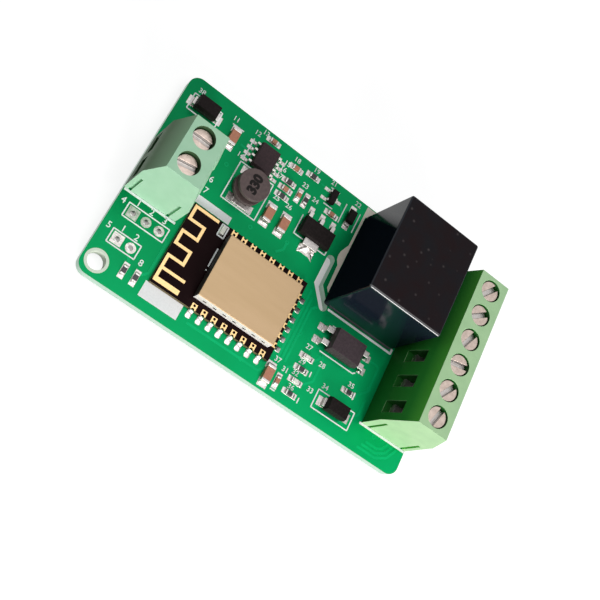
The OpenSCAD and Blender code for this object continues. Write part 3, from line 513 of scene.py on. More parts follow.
# %% Finish a piece
def add_piece(name, mesh, material, body="board", stands_for=(), sharp=35):
    """A mesh becomes a piece of the part: it gets its finish, rides a body and may stand for CAD nodes."""
    mesh.materials.clear()
    mesh.materials.append(material)
    if sharp:
        mesh.shade_smooth()
        mesh.set_sharp_from_angle(angle=math.radians(sharp))
        flatter = loose(name + " shading", mesh)
        flatter.modifiers.new("Flat faces stay flat", "WEIGHTED_NORMAL").keep_sharp = True
        mesh = plain(flatter)
    obj = bpy.data.objects.new(name, mesh)
    scene.collection.objects.link(obj)
    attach(obj, body)
    if stands_for:
        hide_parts(*stands_for)
    print(name, "has", sum(len(p.vertices) - 2 for p in mesh.polygons), "triangles")


def plain(obj):
    """The object's shape with its modifiers worked out, as a mesh; the object itself goes."""
    graph = bpy.context.evaluated_depsgraph_get()
    shape = obj.evaluated_get(graph)
    mesh = bpy.data.meshes.new_from_object(shape, preserve_all_data_layers=True, depsgraph=graph)
    bpy.data.objects.remove(obj)
    return mesh


def loose(name, mesh):
    """A working object that is removed again by plain()."""
    obj = bpy.data.objects.new(name, mesh)
    scene.collection.objects.link(obj)
    return obj


def as_mesh(work):
    """A bmesh as a mesh, with its faces turned outwards."""
    bmesh.ops.recalc_face_normals(work, faces=work.faces)
    mesh = bpy.data.meshes.new("pattern")
    work.to_mesh(mesh)
    work.free()
    return mesh


print("pieces go beside or in place of", len(frame["nodes"]), "CAD nodes")

# %% Copy a CAD solid and ease its edges
SAME_PLACE = 1e-6


def merged(node):
    """A copy of a CAD node with its loose triangles joined into whole faces."""
    mesh = frame["nodes"][node].data.copy()
    for stale in ("custom_normal", "sharp_edge", "sharp_face"):
        if stale in mesh.attributes:
            mesh.attributes.remove(mesh.attributes[stale])
    work = bmesh.new()
    work.from_mesh(mesh)
    bmesh.ops.remove_doubles(work, verts=work.verts, dist=SAME_PLACE)
    bmesh.ops.dissolve_limit(work, angle_limit=math.radians(0.5), verts=work.verts, edges=work.edges)
    work.to_mesh(mesh)
    work.free()
    return mesh


def eased(mesh, width, segments=2):
    """The mesh with its sharp edges rounded; width is in millimetres."""
    mesh.shade_smooth()
    obj = loose("easing", mesh)
    bevel = obj.modifiers.new("Eased edges", "BEVEL")
    bevel.width = width * MM
    bevel.segments = segments
    bevel.limit_method = "ANGLE"
    bevel.angle_limit = math.radians(30)
    bevel.harden_normals = True
    return plain(obj)


def islands(node):
    """The separate solids of a CAD node as (low, high) boxes in board millimetres."""
    work = bmesh.new()
    work.from_mesh(frame["nodes"][node].data)
    bmesh.ops.remove_doubles(work, verts=work.verts, dist=SAME_PLACE)
    left, boxes = set(work.verts), []
    while left:
        group, edge = [], [left.pop()]
        while edge:
            vert = edge.pop()
            group.append(from_spot(vert.co))
            fresh = {e.other_vert(vert) for e in vert.link_edges} & left
            left -= fresh
            edge += fresh
        boxes.append(tuple(tuple(f(c) for c in zip(*group)) for f in (min, max)))
    work.free()
    return sorted(boxes)


def middle(box, i):
    """The middle of a box along x, y or z."""
    return (box[0][i] + box[1][i]) / 2


print("circuit board has", len(islands("chip_ends")), "chip ends on it")

# %% [markdown]
# ### Trees of Geometry Nodes
# Three kinds of shape follow a rule here: copies on a list of places, lines along a path and a wound wire.
# Each has its own tree, but all trees begin with a mesh and named inputs, and all end in Realize Instances
# and Set Material, because the export drops instances. These shared ends are written once.

# %% Shared ends of the trees
def new_tree(name, takes, inputs):
    """A tree with a mesh and named inputs; its inputs' identifiers and their outputs come with it."""
    tree = bpy.data.node_groups.new(name, "GeometryNodeTree")
    tree.interface.new_socket(takes, in_out="INPUT", socket_type="NodeSocketGeometry")
    names = {}
    for label, kind in inputs.items():
        socket = tree.interface.new_socket(label, in_out="INPUT", socket_type="NodeSocket" + kind)
        names[label] = socket.identifier
    tree.interface.new_socket("Shape", in_out="OUTPUT", socket_type="NodeSocketGeometry")
    return tree, names, add_node(tree, "NodeGroupInput").outputs


def close_tree(tree, shape, material):
    """Instances become real faces and get their finish."""
    real = add_node(tree, "GeometryNodeRealizeInstances", {0: shape}).outputs[0]
    coat = add_node(tree, "GeometryNodeSetMaterial", {"Geometry": real, "Material": material})
    add_node(tree, "NodeGroupOutput", {0: coat.outputs[0]})
    print(tree.name, "has", len(tree.nodes), "nodes")


def run_tree(tree, names, mesh, values):
    """The plain mesh that a tree makes; its inputs are set before it is first worked out."""
    obj = loose(tree.name, mesh)
    maker = obj.modifiers.new(tree.name, "NODES")
    maker.node_group = tree
    for label, value in values.items():
        maker[names[label]] = value
    return plain(obj)


print("tree ends ready")

# %% [markdown]
# ### Copies
# Pads, print, solder and chips repeat dozens of times. Linked duplicates would do in a still picture, but not
# in an export. In this tree each place is a point that carries its turn and its size as attributes.

# %% The tree that sets out copies
copies, copies_in, given = new_tree("Set out copies", "Places", {"Pattern": "Object", "Finish": "Material"})


def carried(label):
    """A vector that every point carries."""
    kind = "GeometryNodeInputNamedAttribute"
    return add_node(copies, kind, {"Name": label}, data_type="FLOAT_VECTOR").outputs["Attribute"]


pattern = add_node(copies, "GeometryNodeObjectInfo", {"Object": given["Pattern"]}).outputs["Geometry"]
spin = add_node(copies, "FunctionNodeEulerToRotation", {0: carried("turn")}).outputs[0]
put = {"Points": given["Places"], "Instance": pattern, "Rotation": spin, "Scale": carried("size")}
close_tree(copies, add_node(copies, "GeometryNodeInstanceOnPoints", put).outputs[0], given["Finish"])


def set_out(name, shape, places, material, stands_for=(), sharp=35):
    """One piece made of copies of a mesh; a place is x, y, z, turn in degrees, then an optional size."""
    points = bpy.data.meshes.new(name)
    points.from_pydata([spot(*place[:3]) for place in places], [], [])
    turns = points.attributes.new("turn", "FLOAT_VECTOR", "POINT")
    turns.data.foreach_set("vector", [v for place in places for v in (0, 0, math.radians(place[3]))])
    sizes = points.attributes.new("size", "FLOAT_VECTOR", "POINT")
    sizes.data.foreach_set("vector", [v for place in places for v in (place[4:7] or (1, 1, 1))])
    model = loose(name + " pattern", shape)
    mesh = run_tree(copies, copies_in, points, {"Pattern": model, "Finish": material})
    bpy.data.objects.remove(model)
    add_piece(name, mesh, material, "board", stands_for, sharp)


# %% [markdown]
# ### Lines
# Copper tracks and printed outlines are lines of one width that follow a path. Each could be drawn face by
# face. A tree that sweeps a flat section along every path keeps the width and the corner radius as plain
# inputs.

# %% The tree that lays lines
line_sizes = {"Width": "Float", "Height": "Float", "Corner": "Float", "Finish": "Material"}
lines, lines_in, given = new_tree("Lay lines", "Paths", line_sizes)
path = add_node(lines, "GeometryNodeMeshToCurve", {"Mesh": given["Paths"]}).outputs[0]
bend = {"Curve": path, "Radius": given["Corner"], "Count": 5, "Limit Radius": True}
path = add_node(lines, "GeometryNodeFilletCurve", bend, mode="POLY").outputs[0]
path = add_node(lines, "GeometryNodeSetCurveNormal", {"Curve": path}, mode="Z_UP").outputs[0]
bar = {"Width": given["Width"], "Height": given["Height"]}
bar = add_node(lines, "GeometryNodeCurvePrimitiveQuadrilateral", bar).outputs[0]
sweep = {"Curve": path, "Profile Curve": bar, "Fill Caps": True}
close_tree(lines, add_node(lines, "GeometryNodeCurveToMesh", sweep).outputs[0], given["Finish"])


def lay_lines(name, paths, width, height, z, material, turn_r):
    """One piece of swept lines; a path is a list of x, y in board mm and closes if its ends meet."""
    points, edges = [], []
    for path in paths:
        closed = len(path) > 2 and path[0] == path[-1]
        corners = path[:-1] if closed else path
        first = len(points)
        points += [spot(x, y, z) for x, y in corners]
        last = len(points) - 1
        edges += [(i, i + 1) for i in range(first, last)]
        edges += [(last, first)] if closed else []
    mesh = bpy.data.meshes.new(name)
    mesh.from_pydata(points, edges, [])
    sizes = {"Width": width * MM, "Height": height * MM, "Corner": turn_r * MM, "Finish": material}
    add_piece(name, run_tree(lines, lines_in, mesh, sizes), material)


def frame_line(x0, y0, x1, y1):
    """A closed oblong path."""
    return [(x0, y0), (x1, y0), (x1, y1), (x0, y1), (x0, y0)]


# %% [markdown]
# ### Small shapes
# Drafted mouldings, pads and solder slopes are all skins over a row of rings, so one function makes the skin
# and short ones say where the rings are. Cutting and joining plain solids could make them too, with less
# control over where the faces run.

# %% Skins over rings
def skinned(solids, closed=False):
    """A mesh of solids, each a row of rings of equal count; a closed one joins its ends, like a tyre."""
    work = bmesh.new()
    for rings in solids:
        rows = [[work.verts.new(p) for p in ring] for ring in rings]
        pairs = list(zip(rows, rows[1:])) + ([(rows[-1], rows[0])] if closed else [])
        for low, high in pairs:
            for i in range(len(low)):
                work.faces.new((low[i - 1], low[i], high[i], high[i - 1]))
        if not closed:
            work.faces.new(rows[0][::-1])
            work.faces.new(rows[-1])
    return as_mesh(work)


def oblong(half_x, half_y, radius, z, steps=3):
    """A ring of points round an oblong with rounded corners, in metres."""
    ring = []
    for quarter, (sx, sy) in enumerate(((1, 1), (-1, 1), (-1, -1), (1, -1))):
        for step in range(steps + 1):
            angle = math.pi / 2 * (quarter + step / steps)
            ring.append((sx * (half_x - radius) + radius * math.cos(angle),
                         sy * (half_y - radius) + radius * math.sin(angle), z))
    return ring


def circle(radius, z, steps=32, square=False):
    """A ring of points round a circle, or round the square that holds it, in metres."""
    ring = []
    for step in range(steps):
        c, s = math.cos(2 * math.pi * step / steps), math.sin(2 * math.pi * step / steps)
        reach = radius / max(abs(c), abs(s)) if square else radius
        ring.append((reach * c, reach * s, z))
    return ring


print("an oblong ring has", len(oblong(1, 1, 0.1, 0)), "points and a round one", len(circle(1, 0)))

# %% Lathe, solder slope and block
def turned_shape(profile, steps=32, closed=False):
    """A lathe: the profile is a list of radius and height in millimetres, then True for a square ring."""
    return skinned([[circle(r * MM, z * MM, steps, *square) for r, z, *square in profile]], closed)


def ring_pad(radius, hole, low, high):
    """A pad with a hole through it, in millimetres."""
    return turned_shape([(radius, low), (radius, high), (hole, high), (hole, low)], closed=True)


def fillet_mesh():
    """Solder that climbs a wall at x = 0, one millimetre out, wide and high, so a size sets the real one."""
    points_up, foot = 8, 0.97
    rings = []
    for y, shrink in ((-0.5, 0.72), (-0.42, 0.93), (-0.3, 1.0), (0.3, 1.0), (0.42, 0.93), (0.5, 0.72)):
        ring = [(0, y, 0)]
        for step in range(points_up):
            t = math.pi / 2 * step / (points_up - 1)
            ring.append(((1 - math.sin(t) * foot) * shrink, y, (1 - math.cos(t)) * shrink))
        rings.append([(x * MM, y * MM, z * MM) for x, y, z in ring])
    return skinned([rings])


def block_mesh(x, y, z, ease):
    """A block over the origin with eased edges, in millimetres."""
    work = bmesh.new()
    bmesh.ops.create_cube(work, size=1.0)
    bmesh.ops.translate(work, verts=work.verts, vec=(0, 0, 0.5))
    bmesh.ops.scale(work, verts=work.verts, vec=(x * MM, y * MM, z * MM))
    bmesh.ops.bevel(work, geom=work.edges, offset=ease * MM, segments=1, profile=0.5, affect="EDGES")
    return as_mesh(work)


print("shapes ready")

# %% [markdown]
# ## Dress the CAD nodes
# Many CAD solids already have the right shape: boards, foil, the works inside the relay. They stay, and only
# take a finish that suits what they are made of.

# %% Finishes on solids that stay
worn = {
    green_mask: ["circuit_board"],
    black_mask: ["wifi_board"],
    gold: ["wifi_pads", "wifi_antenna"],
    epoxy: ["wifi_chip", "flash_chip"],
    tin: ["crystal_can", "supply_contacts", "output_contacts", "relay_coil_pins"],
    relay_black: ["relay_base"],
    cream_plastic: ["relay_bobbin"],
    soft_iron: ["relay_core", "relay_yoke", "relay_armature"],
    bronze: ["relay_blade", "relay_upper_contact", "relay_lower_contact"],
}
for mat, nodes in worn.items():
    for node in nodes:
        for worn_slot in frame["nodes"][node].material_slots:
            worn_slot.material = mat
print("finishes on", sum(len(nodes) for nodes in worn.values()), "CAD nodes")

# %% [markdown]
# ## Mouldings, metal and chips with eased edges
# No moulding, stamping or ceramic chip has a knife edge. The eased copies catch the lamp along their edges,
# which is most of what tells plastic from paper in a picture. Modelling them again would risk new sizes, so
# the CAD solid is copied.

# %% Eased copies
def soften(node, material, width, segments=2):
    """A CAD node's own shape with eased edges, in its place."""
    body = frame["nodes"][node].get("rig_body", "board")
    add_piece(node + "_eased", eased(merged(node), width, segments), material, body, (node,), 0)


soften("relay_case", relay_black, 0.42, 3)
soften("shield_can", can_metal, 0.22, 3)
soften("capacitor_bodies", brown_ceramic, 0.08)
soften("resistor_bodies", black_glaze, 0.04)
soften("chip_ends", tin, 0.09, 3)
soften("status_leds", lamp_lens, 0.1, 3)
soften("module_led", lamp_lens, 0.12, 3)
soften("inductor_core", ferrite, 0.14, 3)
soften("inductor_terminals", solder, 0.1)

# %% [markdown]
# ### Terminal blocks
# The two blocks are eased in the same way. Their faces in the screw wells and the test windows, and on the
# side that faces the board, get the marks where the block plastic paints shade. Painting by hand would do it
# too, but a rule from the CAD sizes finds the same faces again if a block is moved.

# %% Terminal blocks
blocks = {"supply": 2, "output": 6}
well_r, well_rim = 2.2, 0.2
window_skin, window_deep, window_sill, end_wall = 0.15, 2.2, 0.5, 1.2
sideways_lean, inner_lean = 0.2, -0.94


def mark(mesh, label, values):
    """A number on every face of a mesh, for a finish to read."""
    mesh.attributes.new(label, "FLOAT", "FACE").data.foreach_set("value", [float(v) for v in values])


def housing(row, material):
    """A terminal block with eased edges, and faces marked for painted shade."""
    node = row + "_block"
    mesh = eased(merged(node), 0.12)
    low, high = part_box(node)
    axes = [sum(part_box(f"{row}_screw_{number + 1}"), Vector()) / 2 for number in range(blocks[row])]
    hollow, inner_side = [], []
    for face in mesh.polygons:
        on, off = (face.center - low) / MM, (high - face.center) / MM
        in_well = min((face.center - axis).xy.length for axis in axes) < well_r * MM and off.z > well_rim
        in_window = window_skin < on.x < window_deep and abs(face.normal.x) < sideways_lean
        in_window = in_window and min(on.y, off.y) > end_wall and min(on.z, off.z) > window_sill
        hollow.append(in_well or in_window)
        inner_side.append(face.normal.x < inner_lean)
    # These marks choose where the block plastic paints shade.
    mark(mesh, "in a hollow", hollow)
    mark(mesh, "on the inner side", inner_side)
    add_piece(node + "_eased", mesh, material, "board", (node,), 0)


housing("supply", mint_plastic)
housing("output", green_plastic)

# %% [markdown]
# ### Drafted packages
# Transfer-moulded packages taper away from the line where the two halves of the mould meet. A plain block
# would miss the two facets that catch the light on each side. The bent leads are the CAD solids with eased
# edges.

# %% Packages
def moulded(node, draft, material=epoxy):
    """Every solid of a node as a drafted package with a parting line half way up."""
    ease, seam, corner_r = 0.06, 0.03, 0.1
    solids = []
    for box in islands(node):
        low, high = box
        centre, waist = spot(middle(box, 0), middle(box, 1)), middle(box, 2)
        half_x, half_y = (high[0] - low[0]) / 2, (high[1] - low[1]) / 2
        side = [(draft + ease, low[2]), (draft, low[2] + ease), (0, waist - seam), (0, waist + seam),
                (draft, high[2] - ease), (draft + ease * 0.3, high[2] - ease * 0.3), (draft + ease, high[2])]
        rings = []
        for inset, z in side:
            ring = oblong((half_x - inset) * MM, (half_y - inset) * MM, corner_r * MM, z * MM)
            rings.append([centre + Vector(p) for p in ring])
        solids.append(rings)
    add_piece(node + "_moulded", skinned(solids), material, "board", (node,))


for lead_node in ("regulator_leads", "ldo_leads", "optocoupler_leads", "transistor_leads", "diode_leads"):
    soften(lead_node, tin, 0.06)
moulded("regulator_body", 0.14)
moulded("ldo_body", 0.14, black_epoxy)
moulded("optocoupler_body", 0.2, grey_epoxy)
moulded("transistor_body", 0.1, black_epoxy)
moulded("diode_bodies", 0.16, black_epoxy)

# %% [markdown]
# ## Screws and clamps
# Each terminal has a slotted screw that lifts a steel clamp. One mesh could be shared by all eight, but every
# one is its own body in the model, so every one is its own piece here.

# %% Screws and clamps
slot_top, slot_floor, head_r = 0.15, 0.95, 1.7


def screw(node):
    """A slotted screw with a UV map from its axis and its slot marked, riding on its own body."""
    low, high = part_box(node)
    axis = (low + high) / 2
    mesh = eased(merged(node), 0.09, 3)
    uv = mesh.uv_layers.new(name="From the axis")
    for loop in mesh.loops:
        uv.data[loop.index].uv = ((mesh.vertices[loop.vertex_index].co - axis) / MM).xy
    slot = []
    for face in mesh.polygons:
        below = (high.z - face.center.z) / MM
        slot.append(slot_top < below < slot_floor and (face.center - axis).xy.length < head_r * MM)
    mark(mesh, "in the slot", slot)
    add_piece(node + "_turned", mesh, turned, node, (node,), 0)


for row, count in blocks.items():
    for number in range(1, count + 1):
        screw(f"{row}_screw_{number}")
        clamp = f"{row}_clamp_{number}"
        mesh = eased(merged(clamp), 0.12)
        add_piece(clamp + "_bent", mesh, clamp_steel, clamp, (clamp,), 0)

# %% [markdown]
# ## Windings
# The inductor and the relay coil are wound from enamelled wire. A striped texture on a cylinder would look
# flat at the rim, so Geometry Nodes wind a real wire: a spiral of the right pitch, swept with a round
# section.

# %% The tree that winds a wire
wire_sizes = {"Radius": "Float", "Wire": "Float", "Turns": "Float", "Height": "Float", "Finish": "Material"}
winding, winding_in, given = new_tree("Wind a wire", "Place", wire_sizes)
spiral = {"Resolution": 40, "Rotations": given["Turns"], "Start Radius": given["Radius"],
          "End Radius": given["Radius"], "Height": given["Height"]}
spiral = add_node(winding, "GeometryNodeCurveSpiral", spiral).outputs[0]
section = {"Resolution": 8, "Radius": given["Wire"]}
section = add_node(winding, "GeometryNodeCurvePrimitiveCircle", section).outputs[0]
sweep = {"Curve": spiral, "Profile Curve": section, "Fill Caps": True}
sweep = add_node(winding, "GeometryNodeCurveToMesh", sweep).outputs[0]
put = add_node(winding, "GeometryNodeInstanceOnPoints", {"Points": given["Place"], "Instance": sweep})
close_tree(winding, put.outputs[0], given["Finish"])


def wind(node, wire_d, inset=0.0):
    """A wire wound once over the outside of a CAD winding, in its place; inset is in millimetres."""
    low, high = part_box(node)
    wire = wire_d / 2 * MM
    height = high.z - low.z - 2 * wire
    place = bpy.data.meshes.new(node)
    place.from_pydata([((low.x + high.x) / 2, (low.y + high.y) / 2, low.z + wire)], [], [])
    sizes = {"Radius": (high.x - low.x) / 2 - wire - inset * MM, "Wire": wire,
             "Turns": float(round(height / (2 * wire))), "Height": height, "Finish": enamel_wire}
    mesh = run_tree(winding, winding_in, place, sizes)
    add_piece(node + "_wound", mesh, enamel_wire, "board", (node,), 60)


wind("inductor_winding", 0.3, 0.4)
wind("relay_coil", 0.22)

# %% [markdown]
# ## Solder and lands
# Paste solder wets the end of each chip and the toe of each lead and freezes as a hollow slope. The places
# come from the CAD solids, so a moved chip takes its solder along. A hand-written list would need a second
# edit.

# %% Find the toes
def toes(ends_node, body_nodes, sideways=False):
    """Where each end or lead meets its pad: x, y, the outward turn, and the end's width and height."""
    bodies = [box for node in body_nodes for box in islands(node)]
    turns = {(0, True): 0, (0, False): 180, (1, True): 90, (1, False): -90}
    found = []
    for end in islands(ends_node):
        low, high = end

        def apart(box):
            gaps = [max(box[0][i] - high[i], low[i] - box[1][i], 0) for i in (0, 1)]
            return sum(gaps), sum(abs(middle(box, i) - middle(end, i)) for i in (0, 1))

        host = min(bodies, key=apart)
        off = [(middle(end, i) - middle(host, i)) / (host[1][i] - host[0][i]) for i in (0, 1)]
        i = 0 if sideways or abs(off[0]) > abs(off[1]) else 1
        edge = [middle(end, 0), middle(end, 1)]
        edge[i] = high[i] if off[i] > 0 else low[i]
        found.append((*edge, turns[i, off[i] > 0], high[1 - i] - low[1 - i], high[2] - low[2]))
    return found


chip_toes = toes("chip_ends", ("capacitor_bodies", "resistor_bodies", "status_leds"))
lead_toes = []
for part in ("regulator", "ldo", "optocoupler", "transistor"):
    lead_toes += toes(part + "_leads", (part + "_body",), part != "ldo")
lead_toes += toes("diode_leads", ("diode_bodies",))
print(len(chip_toes), "chip toes and", len(lead_toes), "lead toes")

# %% Solder and lands of the small parts
land_long, land_spare, land_out, land_share = 1.5, 0.24, 0.5, 0.35
chip_out, chip_share, chip_climb = 0.3, 0.3, 0.72
lead_out, lead_climb, pad_climb = 0.32, 0.2, 0.78
paste_z = 0.02


def outward(turn):
    """The direction of a turn in degrees, as x and y."""
    return math.cos(math.radians(turn)), math.sin(math.radians(turn))


fillets = [(x, y, paste_z, turn, chip_out + chip_share * high, wide * 1.02, chip_climb * high)
           for x, y, turn, wide, high in chip_toes]
fillets += [(x, y, paste_z, turn, lead_out, wide * 1.05, lead_climb) for x, y, turn, wide, _ in lead_toes]
set_out("component_solder", fillet_mesh(), fillets, solder, sharp=50)
lands = []
for x, y, turn, wide, high in chip_toes + lead_toes:
    out_x, out_y = outward(turn)
    shift = land_out + land_share * min(high, 1) - land_long / 2
    lands.append((x + out_x * shift, y + out_y * shift, 0, turn, land_long, wide + land_spare, 1))
set_out("component_lands", block_mesh(1, 1, 0.03, 0.012), lands, tin)

# %% Solder of the radio module
module_fillets = []
for (low, high), toe in zip(islands("wifi_solder"), toes("wifi_solder", ("wifi_board",))):
    x, y, turn, wide, _ = toe
    out_x, out_y = outward(turn)
    long = (high[0] - low[0]) if abs(out_x) > 0.5 else (high[1] - low[1])
    module_fillets.append((x - out_x * long, y - out_y * long, 0.01, turn, long, wide, pad_climb))
set_out("module_solder", fillet_mesh(), module_fillets, solder, ("wifi_solder",), 50)

# %% [markdown]
# ### Solder round the legs
# Under the board each leg of the relay and the terminals stands in a small volcano of solder. A plain cone
# would look like a cap. A lathe profile with a hollow slope is set out at every leg, in the place of the CAD
# cones.

# %% Solder under the board
volcano = [(0.3, 0.0), (1.32, 0.0), (1.36, 0.05), (1.08, 0.25), (0.88, 0.62), (0.76, 1.05), (0.66, 1.42),
           (0.55, 1.56), (0.3, 1.6)]
volcano_d, leg_foil = 2.72, 0.02
legs = []
for box in islands("solder_joints"):
    broad = (box[1][0] - box[0][0]) / volcano_d
    legs.append((middle(box, 0), middle(box, 1), -board_t, 0, broad, broad, -1))
set_out("leg_solder", turned_shape(volcano, 28), legs, solder, ("solder_joints",), 50)
leg_lands = [(x, y, -board_t - leg_foil, 0) for x, y, *_ in legs]
set_out("leg_lands", ring_pad(1.6, 0.8, 0, leg_foil), leg_lands, tin)

# %% [markdown]
# ### Plated holes
# The header holes are drilled, plated and tinned, and the first of each row has a square pad. The mounting
# holes have a bare ring. A pad on each face would leave the barrel bare, so each ring is one solid that runs
# through the board.

# %% Header pads, mounting rings and vias
header_rows = [(3.5, 12.95, 3), (3.5, 7.75, 2)]
pitch = 2.54
foil, barrel_wall = 0.035, 0.04


def plated(radius, hole, square=False):
    """A pad on each face and the barrel between them, as one ring-shaped solid."""
    bore = hole - barrel_wall
    return turned_shape([(radius, foil, square), (bore, foil), (bore, -board_t - foil),
                         (radius, -board_t - foil, square), (radius, -board_t, square), (hole, -board_t),
                         (hole, 0), (radius, 0, square)], closed=True)


through = [(x + pitch * step, y, 0, 0) for x, y, count in header_rows for step in range(1, count)]
first_through = [(x, y, 0, 0) for x, y, _ in header_rows]
mount_places = [(2.5, 2.8, 0, 0), (63.5, 38.2, 0, 0)]
vias = [(28.7, 25.1), (59.3, 4.3), (21.6, 23.4), (38.4, 12.6), (54.6, 11.2), (31.0, 2.6), (12.6, 30.4),
        (45.2, 18.1)]
set_out("header_pads", plated(0.92, 0.5), through, solder)
set_out("header_first_pads", plated(1.0, 0.5, True), first_through, solder)
set_out("mount_rings", plated(2.05, 1.6), mount_places, bare_laminate)
set_out("vias", ring_pad(0.42, 0.2, -0.01, 0.03), [(x, y, 0, 0) for x, y in vias], over_copper)

# %% [markdown]
# ## Copper under the mask
# Tracks and planes are thin copper under the lacquer, so they show as a slightly brighter relief. They could
# be a bump map, but a raised line keeps its edge in any close view.

# %% Tracks on the top
track_t, track_z = 0.03, 0.012
runs = [[(36.7, 6.6), (36.7, 20.6)], [(37.45, 6.6), (37.45, 19.4)], [(38.2, 6.6), (38.2, 17.6), (39.0, 18.4)],
        [(57.0, 1.2), (61.0, 1.2), (63.2, 2.4), (64.4, 4.6)],
        [(57.6, 2.0), (60.8, 2.0), (62.4, 2.9), (63.4, 4.6)],
        [(58.2, 2.8), (60.6, 2.8), (61.7, 3.4), (62.4, 4.6)],
        [(9.6, 12.95), (10.6, 12.0), (10.6, 6.0), (9.3, 4.6)], [(6.04, 7.0), (6.9, 5.6), (6.9, 5.0)],
        [(13.0, 35.2), (14.4, 35.2)], [(21.2, 35.9), (22.8, 35.0)], [(24.8, 33.4), (26.2, 34.6)],
        [(28.7, 25.1), (28.7, 23.6), (27.6, 22.4)], [(29.2, 38.8), (30.8, 38.6)],
        [(34.3, 37.6), (35.9, 35.6)], [(42.6, 4.7), (44.4, 6.5), (44.4, 10.6), (43.0, 12.8)],
        [(42.6, 9.5), (43.6, 10.5), (43.6, 11.4)], [(52.4, 8.5), (54.6, 10.7), (54.6, 15.8), (52.0, 15.8)],
        [(53.0, 4.3), (54.8, 6.1), (54.8, 9.2)], [(36.3, 5.0), (34.6, 2.6), (20.0, 2.6)],
        [(38.5, 4.2), (38.5, 5.6), (40.3, 7.1)]]
lay_lines("tracks_top", runs, 0.42, track_t, track_z, over_copper, 0.6)

# %% Tracks below
under = -board_t - track_z
heavy = [[(57.75, 18.15), (56.4, 18.15), (53.3, 22.2)], [(57.75, 28.31), (55.9, 31.8), (53.3, 34.4)],
         [(57.75, 23.23), (54.5, 26.5), (49.5, 31.5), (47.3, 36.4)]]
lay_lines("tracks_load", heavy, 2.4, track_t, under, solder, 1.2)
low_runs = [[(7.8, 18.64), (11.0, 21.8), (11.0, 34.0), (14.0, 37.0)],
            [(7.8, 23.72), (10.0, 26.0), (10.0, 37.0)],
            [(41.3, 22.2), (41.3, 27.4), (38.6, 30.1), (30.0, 30.1)],
            [(41.3, 34.4), (38.0, 37.7), (30.0, 37.7)], [(3.5, 12.95), (10.0, 6.5), (30.0, 6.5)],
            [(6.04, 12.95), (11.0, 8.0), (30.0, 8.0)], [(8.58, 12.95), (12.0, 9.5), (30.0, 9.5)],
            [(3.5, 7.75), (6.5, 4.7), (30.0, 4.7)], [(57.75, 7.99), (54.0, 4.3), (47.0, 4.3)],
            [(57.75, 13.07), (52.0, 8.5), (44.0, 8.5), (40.0, 12.5)]]
lay_lines("tracks_below", low_runs, 0.8, track_t, under, over_copper, 0.8)

# %% [markdown]
# ## Print
# Parts outlines, boxes, bars and plain numbers are screen printed in white, in a layer as thin as paint.
# Decals would need images, so the lines are swept along their paths, and the numbers are flat figures.

# %% Outlines
ink_z, ink_t = 0.02, 0.04
fine = [frame_line(2.1, 11.65, 9.95, 14.25), frame_line(2.1, 6.45, 7.4, 9.05),
        frame_line(14.5, 24.8, 21.6, 32.6), [(31.0, 27.45), (28.9, 27.45), (28.9, 31.5)],
        [(33.8, 27.45), (35.9, 27.45), (35.9, 31.5)], frame_line(46.0, 2.5, 54.0, 6.0),
        [(43.0, 11.9), (50.4, 11.9), (50.9, 12.3)], [(43.2, 17.2), (50.0, 17.2)],
        [(10.0, 37.6), (12.4, 37.6)], [(22.2, 29.6), (24.2, 29.6)], [(25.4, 29.6), (27.4, 29.6)],
        [(35.3, 38.6), (35.3, 34.4)], [(38.5, 38.6), (38.5, 34.4)], [(31.2, 39.4), (33.2, 39.4)],
        [(31.2, 35.9), (33.2, 35.9)], [(25.9, 38.3), (25.9, 39.4)], [(28.6, 38.3), (28.6, 39.4)],
        [(43.4, 1.6), (43.4, 2.6)], [(43.4, 6.8), (43.4, 7.8)], [(52.5, 7.8), (52.5, 9.2)],
        frame_line(1.8, 34.6, 7.6, 37.9), [(14.6, 33.0), (14.6, 37.8)], [(37.9, 1.2), (38.9, 1.2)]]
lay_lines("print_fine", fine, 0.22, ink_t, ink_z, white_ink, 0.08)
bold = [[(0.2, 15.75), (10.2, 15.75)], [(0.2, 26.6), (10.2, 26.6)], [(55.6, 5.1), (66.0, 5.1)],
        [(55.6, 36.3), (66.0, 36.3)], [(41.0, 19.25), (55.5, 19.25), (55.5, 20.2)]]
lay_lines("print_bold", bold, 0.42, ink_t, ink_z, white_ink, 0.1)
relay_side = [(39.2, 40.8), (39.15, 32.0), (38.7, 31.0), (38.3, 30.0), (38.2, 29.2), (38.35, 28.3),
              (38.9, 27.4), (39.05, 22.6), (39.62, 21.9), (39.62, 38.75), (41.6, 38.75), (41.6, 40.8)]
relay_rings = [[spot(x, y, z) for x, y in relay_side] for z in (0.0, ink_t)]
add_piece("print_relay", skinned([relay_rings]), cream_ink)

# %% Bars and numbers
bars = [(14.5, 3.3, 0.008, 0, 7.4, 2.9, 1), (14.6, 21.95, 0.008, 0, 6.9, 1.5, 1)]
set_out("print_bars", block_mesh(1, 1, 0.02, 0.004), bars, white_ink)
size_per_height = 1.4


def numbers(name, marks, height, z, material, turn=0.0, weight=0.012):
    """Plain numbers as one flat piece; a mark is the text and the x, y of its middle."""
    work = bmesh.new()
    for text, x, y in marks:
        letters = bpy.data.curves.new(name, "FONT")
        letters.body = text
        letters.size = height * size_per_height * MM
        letters.extrude = ink_t / 2 * MM
        letters.offset = weight * height * MM
        letters.align_x = "CENTER"
        letters.align_y = "CENTER"
        letters.resolution_u = 3
        mesh = plain(loose("text", letters))
        mesh.transform(Matrix.Translation(spot(x, y, z)) @ Matrix.Rotation(math.radians(turn), 4, "Z"))
        work.from_mesh(mesh)
    mesh = bpy.data.meshes.new(name)
    work.to_mesh(mesh)
    work.free()
    add_piece(name, mesh, material)


